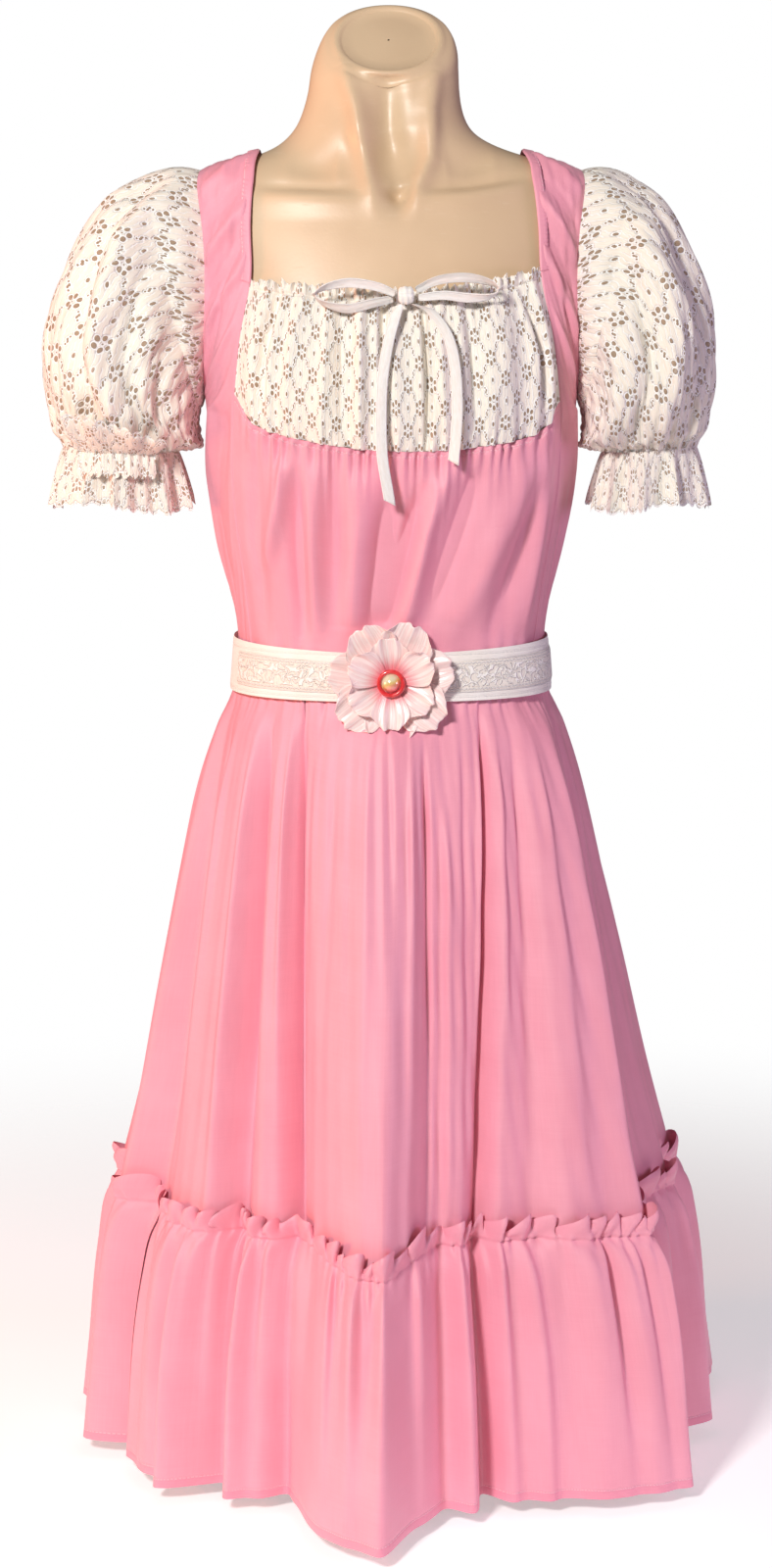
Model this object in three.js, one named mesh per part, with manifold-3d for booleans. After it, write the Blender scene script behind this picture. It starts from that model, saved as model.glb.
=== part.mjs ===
// A square dance dress on a plain dress form, which stands on a pole and a round base.
// Millimetres, +Z up, the front faces -Y. The origin is the centre of the base's underside, on the floor.

import * as THREE from "three";
import { mergeVertices } from "three/addons/utils/BufferGeometryUtils.js";
import Module from "manifold-3d";

const wasm = await Module();
wasm.setup();

// Driving dimensions
const CLOTH = 1.3; // wall of one layer of cotton
const SEAM = 0.4; // gap between two pieces at a seam
const EASE = 2.4; // least gap between the cloth and the form
const LIFT = CLOTH + EASE; // from the form to the outside of a piece that lies on it
const WAIST_Z = 690;
const CHEST_Z = 930; // above this the side fronts and the back run up and over the shoulder
const SHOULDER_X = 108; // the strap's edge at the neck
const HEM_Z = 14;
const FLOUNCE_Z = 230; // the line where the flounce is gathered onto the skirt
const BELT = { wall: 2.2, low: 671, highFront: 711, highSide: 716 };
// The embroidered ribbon: the angles from the front that it covers, and its share of the belt's height
const RIBBON = { wall: 0.9, from: -72, to: 240, low: 0.17, high: 0.8 };
const BASE = { radius: 150, height: 9, rim: 4, bevel: 6 };
const POLE = { radius: 12.5, collarRadius: 34, collarHeight: 8, flare: 9, flareHeight: 12 };
const FLOWER = { x: 0, z: 688 };

// Half width of the figure, and its depth to the front and to the back, at each height
const FIGURE = [
  { z: 505, side: 129, front: 90, back: 92 },
  { z: 540, side: 138, front: 97, back: 101 },
  { z: 580, side: 140, front: 99, back: 103 },
  { z: 620, side: 138, front: 98, back: 99 },
  { z: 660, side: 131, front: 94, back: 91 },
  { z: 690, side: 127, front: 91, back: 87 },
  { z: 720, side: 126, front: 92, back: 87 },
  { z: 760, side: 132, front: 98, back: 90 },
  { z: 800, side: 140, front: 105, back: 93 },
  { z: 850, side: 147, front: 113, back: 95 },
  { z: 900, side: 150, front: 119, back: 96 },
  { z: 930, side: 154, front: 117, back: 97 },
  { z: 960, side: 160, front: 110, back: 98 },
  { z: 990, side: 165, front: 101, back: 98 },
  { z: 1020, side: 169, front: 92, back: 96 },
  { z: 1050, side: 172, front: 82, back: 91 },
  { z: 1075, side: 173, front: 72, back: 83 },
  { z: 1088, side: 170, front: 66, back: 76 },
  { z: 1096, side: 164, front: 61, back: 70 },
  { z: 1103, side: 152, front: 57, back: 65 },
  { z: 1108, side: 139, front: 54, back: 62 },
  { z: 1113, side: 123, front: 52, back: 59 },
  { z: 1119, side: 102, front: 50, back: 57 },
  { z: 1127, side: 84, front: 49, back: 55 },
];
const SQUARENESS = 2.3; // 2 is an ellipse, more is boxier

// The neck: rings that lean forward towards the cap
const NECK = [
  { z: 1137, x: -7, y: 2, lean: 0, side: 73, deep: 52 },
  { z: 1150, x: -7, y: 2, lean: 4, side: 67, deep: 49 },
  { z: 1168, x: -6, y: 2, lean: 12, side: 63, deep: 47 },
  { z: 1186, x: -5, y: 1, lean: 24, side: 61, deep: 46 },
  { z: 1200, x: -3, y: -1, lean: 35, side: 58, deep: 47 },
  { z: 1208, x: -2, y: -3, lean: 43, side: 53, deep: 48 },
  { z: 1210, x: -2, y: -5, lean: 43, side: 47, deep: 45 },
];

// The edge between the centre front and the side fronts, and above it the neckline: x at each height
const FRONT_SEAM = [
  { z: 676, left: -110, right: 112 },
  { z: 760, left: -118, right: 122 },
  { z: 840, left: -127, right: 134 },
  { z: 895, left: -127, right: 137 },
  { z: 930, left: -125, right: 135 },
  { z: 970, left: -121, right: 130 },
  { z: 1016, left: -113, right: 121 },
  { z: 1060, left: -114, right: 119 },
  { z: 1095, left: -112, right: 115 },
  { z: 1118, left: -108, right: 108 },
];
// The yoke's lower seam and its drawn-up neckline edge, from left to right
const YOKE = [
  { u: 0, low: 902, high: 1014 },
  { u: 0.25, low: 886, high: 1008 },
  { u: 0.52, low: 879, high: 1004 },
  { u: 0.8, low: 884, high: 1012 },
  { u: 1, low: 896, high: 1024 },
];
const ARMHOLE = { x: 150, z: 1006, half: 84, front: 50, back: 52 };

// A sleeve's sections from the armhole to the cuff: outermost point, point nearest the body, and depths
const SLEEVE = [
  { at: 1, topX: 204, topZ: 1101, lowX: 161, lowZ: 908, front: 70, back: 66, gather: 3.4 },
  { at: 2, topX: 238, topZ: 1082, lowX: 163, lowZ: 896, front: 85, back: 78, gather: 2.8 },
  { at: 3, topX: 270, topZ: 1034, lowX: 163, lowZ: 888, front: 91, back: 84, gather: 2.2 },
  { at: 4, topX: 289, topZ: 985, lowX: 162, lowZ: 882, front: 90, back: 82, gather: 2.2 },
  { at: 5, topX: 294, topZ: 937, lowX: 160, lowZ: 877, front: 80, back: 74, gather: 3 },
  { at: 6, topX: 287, topZ: 897, lowX: 167, lowZ: 874, front: 62, back: 58, gather: 3.2 },
  { at: 7, topX: 279, topZ: 875, lowX: 176, lowZ: 870, front: 48, back: 46, gather: 1.6 },
];
const SLEEVE_SPREAD = { left: 1, right: 0.83 }; // the right sleeve hangs closer

// The skirt without its folds: half width, depth to the front and depth to the back at each height
const SKIRT = [
  { z: 14, side: 275, front: 240, back: 245 },
  { z: 120, side: 262, front: 226, back: 232 },
  { z: 230, side: 238, front: 198, back: 206 },
  { z: 324, side: 216, front: 179, back: 187 },
  { z: 420, side: 198, front: 159, back: 167 },
  { z: 534, side: 175, front: 136, back: 143 },
  { z: 600, side: 160, front: 121, back: 127 },
  { z: 640, side: 148, front: 110, back: 114 },
  { z: 655, side: 141, front: 103.5, back: 102 },
  { z: 671, side: 133.4, front: 97.2, back: 93.6 },
  { z: 690, side: 131, front: 95, back: 91 },
];
// Its folds: the crests, and how far each stands out at the hem; a trough lies between each two
const FOLDS = [
  { at: -101, out: 14, trough: -26 },
  { at: -77, out: 16, trough: -30 },
  { at: -55, out: 4, trough: -42 },
  { at: -33, out: -22, trough: -40 },
  { at: -8, out: 54, trough: -38 },
  { at: 24, out: -6, trough: -34 },
  { at: 56, out: 34, trough: -30 },
  { at: 90, out: 8, trough: -22 },
  { at: 115, out: 62, trough: -24 },
  { at: 141, out: 26, trough: -26 },
  { at: 165, out: 24, trough: -26 },
  { at: 188, out: 28, trough: -24 },
  { at: 212, out: 22, trough: -28 },
  { at: 236, out: 26, trough: -26 },
];
// Angles from the front at which the four gores meet, at the waist and at the flounce
const GORES = [
  { name: "front", high: -41, low: -26, highEnd: 42, lowEnd: 29 },
  { name: "side_right", high: 42, low: 29, highEnd: 118, lowEnd: 122 },
  { name: "back", high: 118, low: 122, highEnd: 242, lowEnd: 242 },
  { name: "side_left", high: 242, low: 242, highEnd: 319, lowEnd: 334 },
];

const radians = THREE.MathUtils.degToRad;
const { lerp, smoothstep, clamp } = THREE.MathUtils;
const vector = (x, y, z) => new THREE.Vector3(x, y, z);

// Value of a table's column where column by is at: a smooth curve through the rows
function curve(rows, by, column, at) {
  const last = rows.length - 1;
  if (at <= rows[0][by]) return rows[0][column];
  if (at >= rows[last][by]) return rows[last][column];
  const i = rows.findIndex((row) => row[by] > at) - 1;
  const slope = (k) => {
    const before = rows[Math.max(k - 1, 0)];
    const after = rows[Math.min(k + 1, last)];
    return (after[column] - before[column]) / (after[by] - before[by]);
  };
  const wide = rows[i + 1][by] - rows[i][by];
  const t = (at - rows[i][by]) / wide;
  return (
    (1 + 2 * t) * (1 - t) ** 2 * rows[i][column] +
    t * (1 - t) ** 2 * wide * slope(i) +
    t * t * (3 - 2 * t) * rows[i + 1][column] +
    t * t * (t - 1) * wide * slope(i + 1)
  );
}

const figure = (column, z) => curve(FIGURE, "z", column, z);
const seamX = (z, side) => Math.abs(curve(FRONT_SEAM, "z", side < 0 ? "left" : "right", z));

// 1 on the figure's surface, less inside, more outside
function reach(p) {
  const across = Math.abs(p.x) / figure("side", p.z);
  const deep = Math.abs(p.y) / figure(p.y < 0 ? "front" : "back", p.z);
  return (across ** SQUARENESS + deep ** SQUARENESS) ** (1 / SQUARENESS);
}

function slopeOf(p) {
  const along = (axis) => {
    const ahead = p.clone();
    const behind = p.clone();
    ahead[axis] += 1.5;
    behind[axis] -= 1.5;
    return reach(ahead) - reach(behind);
  };
  return vector(along("x"), along("y"), along("z")).normalize();
}

// The point of the figure's surface in the direction of a guess, moved outwards by lift
function onFigure(guess, lift) {
  const pivot = vector(Math.sign(guess.x) * Math.min(Math.abs(guess.x), 100), 0, Math.min(guess.z, 1000));
  const ray = guess.clone().sub(pivot);
  let near = 0;
  let far = 2.5;
  for (let turn = 0; turn < 34; turn++) {
    const middle = (near + far) / 2;
    if (reach(pivot.clone().addScaledVector(ray, middle)) < 1) near = middle;
    else far = middle;
  }
  const p = pivot.addScaledVector(ray, near);
  return p.addScaledVector(slopeOf(p), lift);
}

// A superellipse through half width, front and back, at an angle from the front towards +X
function oval(angle, side, front, back, square = SQUARENESS) {
  const s = Math.sin(angle);
  const c = Math.cos(angle);
  const deep = c > 0 ? front : back;
  const r = ((Math.abs(s) / side) ** square + (Math.abs(c) / deep) ** square) ** (-1 / square);
  return { x: r * s, y: -r * c };
}

const depthAt = (x, z, facing) => {
  const share = Math.min(Math.abs(x) / figure("side", z), 0.9999);
  return facing * figure(facing < 0 ? "front" : "back", z) * (1 - share ** SQUARENESS) ** (1 / SQUARENESS);
};

// A repeatable number from 0 to 1 for a whole number
function chance(n) {
  const s = Math.sin(n * 12.9898 + 4.137) * 43758.5453;
  return s - Math.floor(s);
}

// Solids

function closedGeometry(points, faces) {
  const geometry = new THREE.BufferGeometry();
  const places = points.flatMap((p) => [p.x, p.y, p.z]);
  geometry.setAttribute("position", new THREE.Float32BufferAttribute(places, 3));
  let volume = 0;
  for (const [a, b, c] of faces) volume += points[a].dot(points[b].clone().cross(points[c]));
  geometry.setIndex(faces.flatMap(([a, b, c]) => (volume > 0 ? [a, b, c] : [a, c, b])));
  return geometry;
}

const quad = (faces, a, b, c, d) => faces.push([a, b, c], [a, c, d]);

function normalsOf(grid, closed) {
  const rows = grid.length;
  const columns = grid[0].length;
  return grid.map((row, i) =>
    row.map((point, j) => {
      const before = closed ? (j + columns - 1) % columns : Math.max(j - 1, 0);
      const after = closed ? (j + 1) % columns : Math.min(j + 1, columns - 1);
      const across = row[after].clone().sub(row[before]);
      const up = grid[Math.min(i + 1, rows - 1)][j].clone().sub(grid[Math.max(i - 1, 0)][j]);
      return across.cross(up).normalize();
    }),
  );
}

// A sheet of cloth as a closed wall. The grid holds its outer points in rows, and closed joins its last
// column to the first
function wall(grid, thick = CLOTH, closed = false) {
  const rows = grid.length;
  const columns = grid[0].length;
  const normals = normalsOf(grid, closed);
  const inner = grid.flatMap((row, i) => row.map((p, j) => p.clone().addScaledVector(normals[i][j], -thick)));
  const points = [...grid.flat(), ...inner];
  const at = (i, j, layer) => layer * rows * columns + i * columns + (j % columns);
  const faces = [];
  const spans = closed ? columns : columns - 1;
  for (let j = 0; j < spans; j++) {
    for (let i = 0; i < rows - 1; i++) {
      quad(faces, at(i, j, 0), at(i, j + 1, 0), at(i + 1, j + 1, 0), at(i + 1, j, 0));
      quad(faces, at(i, j, 1), at(i + 1, j, 1), at(i + 1, j + 1, 1), at(i, j + 1, 1));
    }
    quad(faces, at(0, j, 0), at(0, j, 1), at(0, j + 1, 1), at(0, j + 1, 0));
    quad(faces, at(rows - 1, j, 0), at(rows - 1, j + 1, 0), at(rows - 1, j + 1, 1), at(rows - 1, j, 1));
  }
  const end = columns - 1;
  for (let i = 0; i < rows - 1 && !closed; i++) {
    quad(faces, at(i, 0, 0), at(i + 1, 0, 0), at(i + 1, 0, 1), at(i, 0, 1));
    quad(faces, at(i, end, 0), at(i, end, 1), at(i + 1, end, 1), at(i + 1, end, 0));
  }
  return closedGeometry(points, faces);
}

// A solid through rings of points, closed by a flat fan at each end
function loft(rings) {
  const sides = rings[0].length;
  const points = rings.flat();
  const faces = [];
  for (let i = 0; i < rings.length - 1; i++) {
    for (let j = 0; j < sides; j++) {
      const next = (j + 1) % sides;
      quad(faces, i * sides + j, i * sides + next, (i + 1) * sides + next, (i + 1) * sides + j);
    }
  }
  for (const ring of [0, rings.length - 1]) {
    const middle = vector(0, 0, 0);
    rings[ring].forEach((p) => middle.addScaledVector(p, 1 / sides));
    points.push(middle);
    for (let j = 0; j < sides; j++) {
      const a = ring * sides + j;
      const b = ring * sides + ((j + 1) % sides);
      faces.push(ring === 0 ? [b, a, points.length - 1] : [a, b, points.length - 1]);
    }
  }
  return closedGeometry(points, faces);
}

function manifoldOf(geometry) {
  const bare = mergeVertices(new THREE.BufferGeometry()
    .setAttribute("position", geometry.getAttribute("position"))
    .setIndex(geometry.index));
  return new wasm.Manifold(new wasm.Mesh({
    numProp: 3,
    vertProperties: new Float32Array(bare.attributes.position.array),
    triVerts: new Uint32Array(bare.index.array),
  }));
}

function geometryOf(manifold) {
  const mesh = manifold.getMesh();
  return new THREE.BufferGeometry()
    .setAttribute("position", new THREE.Float32BufferAttribute(mesh.vertProperties, 3))
    .setIndex(new THREE.Uint32BufferAttribute(mesh.triVerts, 1));
}

// Cuts eyelets through a sheet. Each is given by its row and column in the grid of outer points, in fractions
function pierce(geometry, grid, holes, sides = 4) {
  const cutters = holes.map(({ row, column, wide, high }) => {
    const i = Math.min(Math.floor(row), grid.length - 2);
    const j = Math.min(Math.floor(column), grid[0].length - 2);
    const [s, t] = [row - i, column - j];
    const a = grid[i][j].clone().lerp(grid[i][j + 1], t);
    const b = grid[i + 1][j].clone().lerp(grid[i + 1][j + 1], t);
    const up = b.clone().sub(a).normalize();
    const across = grid[i][j + 1].clone().sub(grid[i][j]).normalize();
    const normal = across.clone().cross(up).normalize();
    const centre = a.lerp(b, s);
    const ring = (depth) => Array.from({ length: sides }, (_, k) => {
      const turn = (2 * Math.PI * k) / sides;
      return centre.clone()
        .addScaledVector(across, (wide / 2) * Math.sin(turn))
        .addScaledVector(up, (high / 2) * Math.cos(turn))
        .addScaledVector(normal, depth);
    });
    return manifoldOf(loft([ring(-4), ring(3)]));
  });
  return geometryOf(wasm.Manifold.difference([manifoldOf(geometry), ...cutters]));
}

const gridOf = (rows, columns, place, closed = false) => Array.from({ length: rows + 1 }, (_, i) =>
  Array.from({ length: closed ? columns : columns + 1 }, (_, j) => place(j / columns, i / rows)));

const mirrored = (grid) => grid.map((row) => row.map((p) => vector(-p.x, p.y, p.z)).reverse());

// Materials

const cotton = (colour, roughness = 0.75) =>
  new THREE.MeshStandardMaterial({ color: colour, roughness, metalness: 0 });
const PINK = cotton(0xf2a0b4);
const EYELET = cotton(0xf6efe6, 0.85);
const WHITE = cotton(0xf7f3ee, 0.5);
const CREAM = cotton(0xf3ebdd, 0.6);
const PETAL = cotton(0xf5d2d0, 0.45);
const RED = cotton(0xc8202a, 0.5);
const PEARL = cotton(0xf6c08a, 0.15);
const SHELL = cotton(0xd9bd97, 0.4);
const STEEL = new THREE.MeshStandardMaterial({ color: 0xb8b8b8, roughness: 0.35, metalness: 0.9 });

const dress = new THREE.Group();
function add(name, geometry, material) {
  const mesh = new THREE.Mesh(geometry, material.clone());
  mesh.name = name;
  dress.add(mesh);
}

// The dress form and its stand

function formRings() {
  const sides = 22;
  const angle = (k) => (2 * Math.PI * k) / sides;
  const heights = [505, 512, 560, 620, 690, 725, 770, 820, 870, 910, 950, 990, 1030, 1065, 1086, 1096, 1103,
    1108, 1113, 1119, 1127];
  const torso = heights.map((z, i) => Array.from({ length: sides }, (_, k) => {
    const p = oval(angle(k), figure("side", z), figure("front", z), figure("back", z));
    const small = i === 0 ? 0.93 : 1;
    return vector(p.x * small - (z > 1119 ? 4 : 0), p.y * small, z);
  }));
  const neck = NECK.map(({ z, x, y, lean, side, deep }) => Array.from({ length: sides }, (_, k) => {
    const p = oval(angle(k), side, deep, deep, 2.1);
    return vector(x + p.x, y + p.y * Math.cos(radians(lean)), z + p.y * Math.sin(radians(lean)));
  }));
  return [...torso, ...neck];
}

// A turned solid about Z, from pairs of radius and height
const lathe = (profile, sides) =>
  new THREE.LatheGeometry(profile.map(([x, y]) => new THREE.Vector2(x, y)), sides).rotateX(Math.PI / 2);

function standBase() {
  const { radius, height, rim, bevel } = BASE;
  return lathe([[0, 0], [radius, 0], [radius, rim], [radius - bevel, height - 2], [POLE.radius + 20, height],
    [0, height]], 28);
}

function standPole() {
  const { radius, collarRadius, collarHeight, flare, flareHeight } = POLE;
  const foot = BASE.height + SEAM;
  const top = FIGURE[0].z - SEAM;
  return lathe([[0, foot], [radius + flare, foot], [radius + flare, foot + 5], [radius, foot + flareHeight],
    [radius, top - 2 * collarHeight], [collarRadius, top - collarHeight], [collarRadius, top], [0, top]], 12);
}

add("form", loft(formRings()), SHELL);
add("stand_base", standBase(), STEEL);
add("stand_pole", standPole(), STEEL);

// The bodice

const fade = (u, wide = 0.1) => smoothstep(u, 0, wide) * smoothstep(1 - u, 0, wide);

// A few broad folds that lean across a panel, from 0 to 1
function drape(u, v, count, lean, start) {
  const phase = count * (u + lean * v) + start;
  return 0.5 + 0.5 * Math.sin(2 * Math.PI * phase + 1.2 * Math.sin(2.3 * phase));
}

const centreX = (u, z) => lerp(-seamX(z, -1) + SEAM / 2, seamX(z, 1) - SEAM / 2, u);

function centreFront(u, v) {
  const z = lerp(WAIST_Z + SEAM / 2, curve(YOKE, "u", "low", u) - SEAM / 2, v);
  const gathers = Math.cos(2 * Math.PI * 15 * u) * (1.6 * v ** 5);
  const folds = 6.5 * drape(u, v, 3.4, -0.25, 0.15) * smoothstep(v, 0.1, 0.5) * lerp(1, 0.35, v);
  const x = centreX(u, z);
  return onFigure(vector(x, depthAt(x, z, -1), z), LIFT + (folds + gathers + 1.5 * v) * fade(u));
}

function yoke(u, v, out = 0) {
  const z = lerp(curve(YOKE, "u", "low", u) + SEAM / 2, curve(YOKE, "u", "high", u), v);
  const puff = Math.sin(Math.PI * (0.06 + 0.9 * v)) ** 0.6;
  const folds = 2.6 * Math.cos(2 * Math.PI * 7 * u + 0.9 * Math.sin(9 * u));
  const x = centreX(u, z);
  return onFigure(vector(x, depthAt(x, z, -1), z), LIFT + out + (8 * puff + folds + 3.2) * fade(u));
}

// A guess near the figure on the way from the chest, where walk is 0, up to the shoulder's ridge, at 1, and
// down behind it. RISE is the straight part of ARCH, the whole way up, and RIDGE_Z the height of the ridge
const RISE = 165;
const ARCH = 210;
const RIDGE_Z = 1106;
function arch(x, walk, facing) {
  if (walk > 1) return arch(x, 2 - walk, -facing);
  const way = walk * ARCH;
  if (way <= RISE) return vector(x, depthAt(x, CHEST_Z + way, facing), CHEST_Z + way);
  return vector(x, facing * (ARCH - way), RIDGE_Z);
}

const LOW_ROWS = [0, 0.15, 0.42, 0.71, 1]; // share of the way from the waist to the armpit
const SHOULDER_WALK = 0.785; // where the back meets the strap, behind the ridge
const SHOULDER_TURN = 0.5; // the same on the armhole, in radians behind its top
const sideSeam = (share) => {
  const z = lerp(WAIST_Z + SEAM / 2, ARMHOLE.z - ARMHOLE.half, share);
  return vector(figure("side", z), 0, z);
};
const armhole = (turn) => vector(ARMHOLE.x, -Math.sin(turn) * (turn > 0 ? ARMHOLE.front : ARMHOLE.back),
  ARMHOLE.z + ARMHOLE.half * Math.cos(turn));

// Keeps a point on its own side of the side seam
function clearOfSide(p, facing) {
  if (facing * p.y < SEAM / 2) p.y = (facing * SEAM) / 2;
  return p;
}

// A side front, on the right: u runs from the front seam to the side seam. Row runs from 0 at the waist to 1
// at the underbust seam, 2 at the yoke's upper edge and 3 behind the shoulder's ridge
function sideFront(u, row, side, out = 0) {
  const end = YOKE[side < 0 ? 0 : YOKE.length - 1];
  const heights = [WAIST_Z + SEAM / 2, end.low, end.high];
  const walks = [...heights.map((z) => (z - CHEST_Z) / ARCH), 2 - SHOULDER_WALK - 0.004];
  const part = Math.min(Math.floor(row), 2);
  const walk = lerp(walks[part], walks[part + 1], row - part);
  const neckTop = FRONT_SEAM[FRONT_SEAM.length - 1].z;
  const inner = arch(seamX(Math.min(CHEST_Z + walk * ARCH, neckTop), side) + SEAM / 2, walk, -1);
  const turn = lerp(Math.PI, 0.008 - SHOULDER_TURN, (row - 1) / 2);
  const guess = inner.lerp(row <= 1 ? sideSeam(row) : armhole(turn), u);
  const ends = smoothstep(row, 0.4, 1) * smoothstep(3 - row, 0, 0.4);
  const drag = 2.4 * drape(u, -row / 3, 2.2, 2.4, 0.2) * fade(u, 0.25) * ends;
  const p = onFigure(guess, LIFT + out + drag);
  return row <= 1 ? clearOfSide(p, -1) : p;
}

// The back: u runs from the right side seam to the left one. Row runs from 0 at the waist to 1 at the armpit
// and 2 at the back neckline and the straps
const NECK_SHARE = 0.625;
function back(u, row, out = 0) {
  const share = Math.abs(1 - 2 * u);
  const strapX = lerp(104, SHOULDER_X + SEAM / 2, row / 2);
  const low = (WAIST_Z + SEAM / 2 - CHEST_Z) / ARCH;
  const near = share / NECK_SHARE;
  const top = near < 1 ? lerp(0.7, SHOULDER_WALK, near ** 3) : SHOULDER_WALK;
  const middle = arch(strapX * Math.min(near, 1), row <= 1 ? low * (1 - row) : top * (row - 1), 1);
  const outer = row <= 1 ? sideSeam(row) : armhole(lerp(-Math.PI, -SHOULDER_TURN, row - 1));
  const guess = near <= 1 ? middle : middle.lerp(outer, (share - NECK_SHARE) / (1 - NECK_SHARE));
  const ends = smoothstep(row, 0.1, 0.5) * smoothstep(2 - row, 0.2, 1);
  const folds = 2.4 * drape(u, row / 2, 4, 0.1, 0.4) * fade(u) * ends;
  const p = clearOfSide(onFigure(guess, LIFT + out + folds), 1);
  return vector(u > 0.5 ? -p.x : p.x, p.y, p.z);
}

// Eyelets in staggered rows over a grid, the largest of each repeat. Each lies within one half of a cell
function eyelets({ rows, from, to, step, wide, high }) {
  return rows.flatMap((row, i) => {
    const start = from + (i % 2 ? Math.floor(step / 2) : 0);
    return Array.from({ length: Math.floor((to - start) / step) + 1 }, (_, j) => (i % 2
      ? { row: row + 0.36, column: start + j * step + 0.64, wide, high }
      : { row: row + 0.64, column: start + j * step + 0.36, wide, high }));
  });
}

const rowsOf = (rows, columns, place) => rows.map((row) => columns.map((u) => place(u, row)));
const even = (count) => Array.from({ length: count + 1 }, (_, j) => j / count);
const NECK_ROWS = [2, 2.16, 2.33, 2.49, 2.63, 2.76, 2.88, 3];
const STRAP_COLUMNS = [0, 0.18, 0.45, 0.72, 1];

add("bodice_front", wall(rowsOf(LOW_ROWS, even(28), centreFront)), PINK);
const yokeGrid = gridOf(4, 28, yoke);
add("yoke", pierce(wall(yokeGrid), yokeGrid, eyelets({
  rows: [0, 1, 2, 3], from: 1, to: 25, step: 4, wide: 4.8, high: 6.8,
})), EYELET);
for (const [name, side] of [["left", -1], ["right", 1]]) {
  const rows = [...LOW_ROWS, 1.25, 1.5, 1.75, ...NECK_ROWS];
  const grid = rowsOf(rows, STRAP_COLUMNS, (u, row) => sideFront(u, row, side));
  add(`side_front_${name}`, wall(side < 0 ? mirrored(grid) : grid), PINK);
}
const BACK_COLUMNS = [0, 0.03, ...even(16).slice(1, -1), 0.97, 1];
const BAND_ROW = 1.939; // the back band's lower edge
const BACK_ROWS = [...LOW_ROWS, 1.17, 1.34, 1.51, 1.68, 1.82, BAND_ROW, 2];
add("bodice_back", wall(rowsOf(BACK_ROWS, BACK_COLUMNS, back)), PINK);

// The sleeves

function armholeRing(turn, out) {
  return onFigure(armhole(turn > Math.PI ? turn - 2 * Math.PI : turn), LIFT + out);
}

const HEAD_GATHERS = 18;
const SHOULDER_LINE = 171; // x beyond which a sleeve's spread counts
function sleeve(turn, at, spread) {
  const row = (column) => curve(SLEEVE, "at", column, Math.max(at, 1));
  const widen = (x) => SHOULDER_LINE + (x - SHOULDER_LINE) * (x > SHOULDER_LINE ? spread : 1);
  const top = vector(widen(row("topX")), 0, row("topZ"));
  const low = vector(row("lowX"), 0, row("lowZ"));
  const middle = top.clone().add(low).multiplyScalar(0.5);
  const arm = top.sub(low).multiplyScalar(0.5);
  const deep = Math.sin(turn) > 0 ? row("front") : row("back");
  const ripple = Math.cos(HEAD_GATHERS * turn + 0.8 * Math.sin(3 * turn));
  const gather = row("gather") * ripple * Math.sin(turn / 2 + 0.5) ** 2;
  const grow = 1 + gather / arm.length();
  const p = middle.addScaledVector(arm, Math.cos(turn) * grow);
  p.y -= Math.sin(turn) * (deep + gather);
  if (at >= 1) return p;
  const start = armholeRing(turn, SEAM);
  const swell = 4.2 * Math.sin(Math.PI * at);
  return start.lerp(p, at).add(vector(0, -Math.sin(turn) * swell, Math.cos(turn) * swell));
}

const SLEEVE_ROWS = [0, 0.5, 1.4, 2.6, 3.9, 5.2, 7];
for (const [name, side] of [["left", -1], ["right", 1]]) {
  for (const [half, start] of [["front", 0], ["back", Math.PI]]) {
    const columns = 16;
    const slit = 0.011;
    const grid = SLEEVE_ROWS.map((at) => Array.from({ length: columns + 1 }, (_, j) =>
      sleeve(start + slit + ((Math.PI - 2 * slit) * j) / columns, at, SLEEVE_SPREAD[name])));
    const made = side < 0 ? mirrored(grid) : grid;
    const front = (half === "front") === side > 0;
    const holes = eyelets({
      rows: [1, 2, 3, 4], from: front ? 1 : 4, to: front ? 11 : 14, step: 2, wide: 5.4, high: 7.2,
    });
    add(`sleeve_${name}_${half}`, pierce(wall(made), made, holes), EYELET);
  }
}

// The band round the neck: over each strap, and along the back neckline

const BAND_OUT = CLOTH + SEAM;
const BAND_WALL = 1;
for (const [name, side] of [["left", -1], ["right", 1]]) {
  const grid = rowsOf(NECK_ROWS, STRAP_COLUMNS.slice(0, 2), (u, row) => sideFront(u, row, side, BAND_OUT));
  add(`neck_band_${name}`, wall(side < 0 ? mirrored(grid) : grid, BAND_WALL), PINK);
}
const backBand = rowsOf([BAND_ROW, 2], BACK_COLUMNS.slice(4, 15), (u, row) => back(u, row, BAND_OUT));
add("neck_band_back", wall(backBand, BAND_WALL), PINK);

// The frills under the cuffs

const FRILL = { waves: 13, columns: 28, drop: 46 };
function frill(turn, v, spread) {
  const edge = sleeve(turn, 7, spread);
  const centre = sleeve(0, 7, spread).add(sleeve(Math.PI, 7, spread)).multiplyScalar(0.5);
  const out = edge.clone().sub(centre).setZ(0).normalize();
  const wave = Math.cos(FRILL.waves * turn + 0.7 * Math.sin(2 * turn));
  const scallop = 3 * Math.cos(2 * FRILL.waves * turn);
  edge.z -= 0.9 + v * FRILL.drop + (v === 1 ? scallop : 0);
  return edge.addScaledVector(out, -0.5 + 7 * v + 4.6 * wave * Math.sqrt(v));
}
for (const [name, side] of [["left", -1], ["right", 1]]) {
  const grid = gridOf(2, FRILL.columns, (u, v) => frill(2 * Math.PI * u, v, SLEEVE_SPREAD[name]), true);
  add(`frill_${name}`, wall(side < 0 ? mirrored(grid) : grid, CLOTH, true), EYELET);
}
const turnedUp = gridOf(2, 14, (u, v) => {
  const p = sleeve(lerp(radians(60), radians(122), u), 7 - 1.15 * v, SLEEVE_SPREAD.left);
  p.y -= 3.4 + 7 * v + 2.6 * v * Math.cos(2 * Math.PI * 3.5 * u);
  p.z += v === 1 ? 3 * Math.cos(2 * Math.PI * 4 * u) : 0;
  return p;
}).reverse();
add("frill_left_turned", wall(mirrored(turnedUp)), EYELET);

// The skirt and the flounce

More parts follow.
